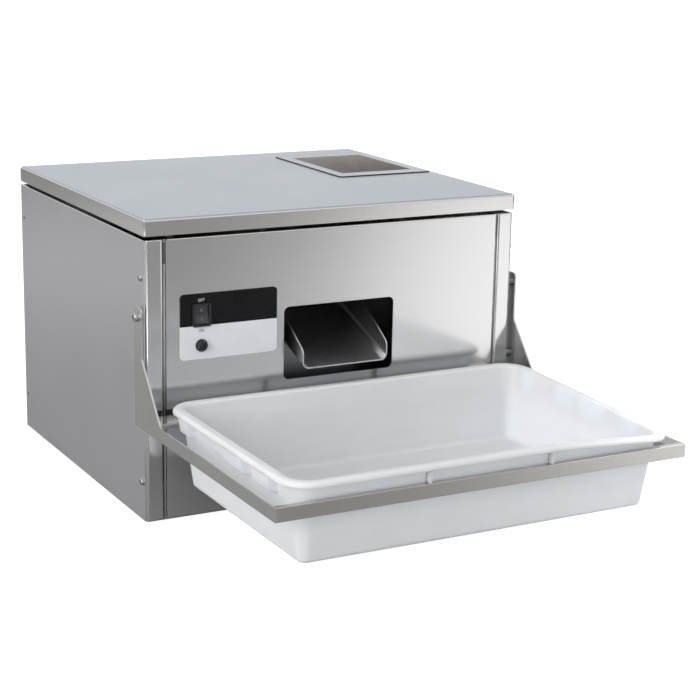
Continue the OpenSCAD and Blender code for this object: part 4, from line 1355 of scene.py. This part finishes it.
@dataclass(frozen=True)
class CoilSpring:
    """A coil spring of round wire, with the coil's mean radius and the wire's own."""

    radius: float = 13 * MM
    wire: float = 1.75 * MM
    turns: int = 5
    length: float = 46 * MM
    play: float = 0.1 * MM
    turn_steps: int = 28
    sides: int = 12

    def draw(self, shape: Shape, middle: Vector) -> None:
        """Adds the upright spring to a mesh.

        Args:
            shape: Mesh that gets it.
            middle: Middle of the spring.
        """
        count = self.turns * self.turn_steps
        rise = self.length - 2 * self.wire - self.play
        rings = []
        for i in range(count + 1):
            a, z = 2 * math.pi * i / self.turn_steps, rise * (i / count - 0.5)
            out = Vector((math.cos(a), math.sin(a), 0.0))
            rings.append([middle + out * (self.radius + self.wire * math.cos(b))
                          + Vector((0.0, 0.0, z + self.wire * math.sin(b)))
                          for b in circle(self.sides)])
        bridge(shape, rings)


@dataclass
class Drive(SubAssembly):
    """The drive plate, motor, eccentric weights, springs and heater."""

    spring: CoilSpring = CoilSpring()
    spring_off: float = 95 * MM

    def build(self) -> None:
        """Dresses the solids and adds the springs."""
        self.dress(FRAME_STEEL, "drive_plate", "heater_clips")
        self.dress(SCREW_STEEL, "drive_bolts")
        self.dress(MOTOR_PAINT, "motor_body")
        self.dress(SHAFT_STEEL, "rotor_shaft")
        self.dress(WEIGHT_IRON, "upper_weight", "lower_weight")
        self.springs()
        self.dress(FOOT_RUBBER, "spring_seats_lower", "spring_seats_upper")
        self.dress(HEATER_TUBE, "heater_ring")
        self.dress(IVORY_PLASTIC, "thermostat")

    def springs(self) -> None:
        """Adds the springs, which stand between the base and the bowl and ride on no body."""
        low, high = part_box("springs")
        middle = (low + high) / 2
        shape = bmesh.new()
        for across in (-1, 1):
            for along in (-1, 1):
                self.spring.draw(shape, middle + Vector((across, along, 0.0)) * self.spring_off)
        piece = self.add("coil_springs", shape, "", "spring_steel", SPRING_STEEL, "springs",
                         crease=60.0)
        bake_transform(piece)


@dataclass
class RearInlet(SubAssembly):
    """The cable gland, the wiring pieces inside and the blades of the louvres."""

    blade_columns: tuple[float, ...] = (-110 * MM, 110 * MM)
    blade_rows: int = 10
    blade_start: float = 160 * MM
    blade_pitch: float = 12 * MM
    blade_width: float = 62 * MM
    blade_depth: float = 7.5 * MM
    blade_top: float = 3.2 * MM
    blade_drop: float = 7.5 * MM
    blade_sheet: float = 0.8 * MM
    blade_play: float = 0.1 * MM
    arc_points: int = 7
    blade_rings: int = 5

    def build(self) -> None:
        """Dresses the solids and adds the blades."""
        self.blades()
        self.dress(GREY_PLASTIC, "cable_gland", "gland_locknut")
        self.dress(FOOT_RUBBER, "gland_seal")
        self.dress(IVORY_PLASTIC, "terminal_block")
        self.dress(CAN_ALUMINIUM, "run_capacitor")

    def blades(self) -> None:
        """Adds the curved blade behind each slot of the rear panel."""
        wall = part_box("rear_panel")[0].y - self.blade_play
        outer, inner = (
            [((self.blade_depth - sheet) * math.sin(a),
              sheet + (self.blade_drop - sheet) * (1 - math.cos(a)))
             for a in spread(0.0, QUARTER, self.arc_points)]
            for sheet in (0.0, self.blade_sheet)
        )
        section, half = outer + inner[::-1], self.blade_width / 2
        shape = bmesh.new()
        for x in self.blade_columns:
            for row in range(self.blade_rows):
                top = self.blade_start + row * self.blade_pitch + self.blade_top
                bridge(shape, [[(at, wall - deep, top - down) for deep, down in section]
                               for at in spread(x - half, x + half, self.blade_rings)])
        self.add("louvre_blades", shape, "housing", "grained_steel", REAR_STEEL, crease=50.0)


@dataclass(frozen=True)
class Softbox:
    """A studio lamp with a flat face, its power in watts and its angles in degrees."""

    name: str
    at: Triple
    aim: Triple
    size: tuple[float, float]
    power: float
    turn: float = 0.0
    spread: float = 180.0

    def build(self) -> None:
        """Adds the lamp."""
        data = bpy.data.lights.new(self.name, "AREA")
        data.shape = "RECTANGLE"
        data.size, data.size_y = self.size
        data.energy, data.spread = self.power, math.radians(self.spread)
        at = Vector(self.at)
        put(self.name, data).matrix_world = facing(at, Vector(self.aim) - at, self.turn, "-Z")


@dataclass
class Studio:
    """The camera, the white floor, the lamps and the sky."""

    eye: Triple = (-0.96620, -1.85004, 0.71188)
    heading: float = -28.687
    dip: float = 14.325
    roll: float = 1.191
    lens: float = 90.776
    floor_reach: float = 30.0
    floor_colour: Colour = (0.43, 0.43, 0.43)
    floor_roughness: float = 0.9
    floor_lift: float = 0.97
    sky: float = 0.74
    lamps: tuple[Softbox, ...] = (
        Softbox("key", (-2.1, -0.9, 1.05), (-0.1, -0.2, 0.15), (1.2, 1.2), 25.0),
        Softbox("pool", (1.30, -1.24, 0.38), (1.30, -1.239, 0.0), (1.0, 2.5), 20.0,
                turn=32.0, spread=120.0),
        Softbox("corner", (-0.75, -0.95, 0.30), (-0.75, -0.949, 0.0), (0.4, 0.4), 6.0,
                spread=120.0),
        Softbox("rear", (-0.95, 1.45, 0.5), (-0.95, 1.451, 0.0), (0.7, 1.0), 2.0, spread=120.0),
    )

    def build(self) -> None:
        """Adds the camera, the floor, the sky and the lamps."""
        bpy.context.scene.view_settings.view_transform = "Standard"
        self.camera()
        self.floor()
        self.world()
        for lamp in self.lamps:
            lamp.build()

    def camera(self) -> None:
        """Adds the camera at the photograph's viewing angle."""
        data = bpy.data.cameras.new("camera")
        data.lens = self.lens
        camera = put("camera", data)
        frame = Matrix.Translation(self.eye)
        for angle, axis in ((self.heading, "Z"), (90 - self.dip, "X"), (self.roll, "Z")):
            frame = frame @ Matrix.Rotation(math.radians(angle), 4, axis)
        camera.matrix_world = frame
        bpy.context.scene.camera = camera

    def floor(self) -> None:
        """Adds the floor, which shows white and keeps the shadow."""
        shape = bmesh.new()
        bmesh.ops.create_grid(shape, x_segments=1, y_segments=1, size=self.floor_reach)
        floor = put("floor", meshed("floor", shape))
        shader = Shader("floor_white")
        values = {0: shader.seen("Is Transmission Ray"), 1: self.floor_lift}
        lift = shader.add("Math", values, operation="MULTIPLY")
        floor.data.materials.append(shader.finish(
            Base_Color=(*self.floor_colour, 1.0),
            Roughness=self.floor_roughness,
            Specular_IOR_Level=0.0,
            Emission_Color=WHITE,
            Emission_Strength=lift.outputs[0],
        ))
        floor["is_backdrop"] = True

    def world(self) -> None:
        """Lights the scene from all round, with a white sky in view."""
        world = bpy.data.worlds.new("sky")
        bpy.context.scene.world = world
        world.use_nodes = True
        tree = Tree(world.node_tree)
        share = tree.seen("Is Glossy Ray", "Is Transmission Ray")
        level = tree.add("MapRange", {"Value": share, "To Min": self.sky})
        inputs = tree.nodes["Background"].inputs
        tree.feed(inputs["Color"], WHITE)
        tree.feed(inputs["Strength"], level.outputs["Result"])


def corners(box: tuple[Vector, Vector]) -> list[list[float]]:
    """Returns a box's two corners as plain lists."""
    return [list(corner) for corner in box]


def main() -> None:
    """Builds the studio and each sub-assembly."""
    logging.basicConfig(level=logging.INFO, format="%(name)s: %(message)s")
    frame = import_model()
    cad_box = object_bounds()
    nodes = frame["nodes"]
    Studio().build()
    assemblies: list[SubAssembly] = [
        Housing(nodes),
        LidAndHopper(nodes),
        ControlPanel(nodes, joints=frame["joints"]),
        Rack(nodes),
        CollectingTray(nodes),
        VibratingBowl(nodes),
        Drive(nodes),
        RearInlet(nodes),
    ]
    for assembly in assemblies:
        assembly.build()
    {"cad": corners(cad_box), "visual": corners(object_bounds())}


if __name__ == "__main__":
    main()
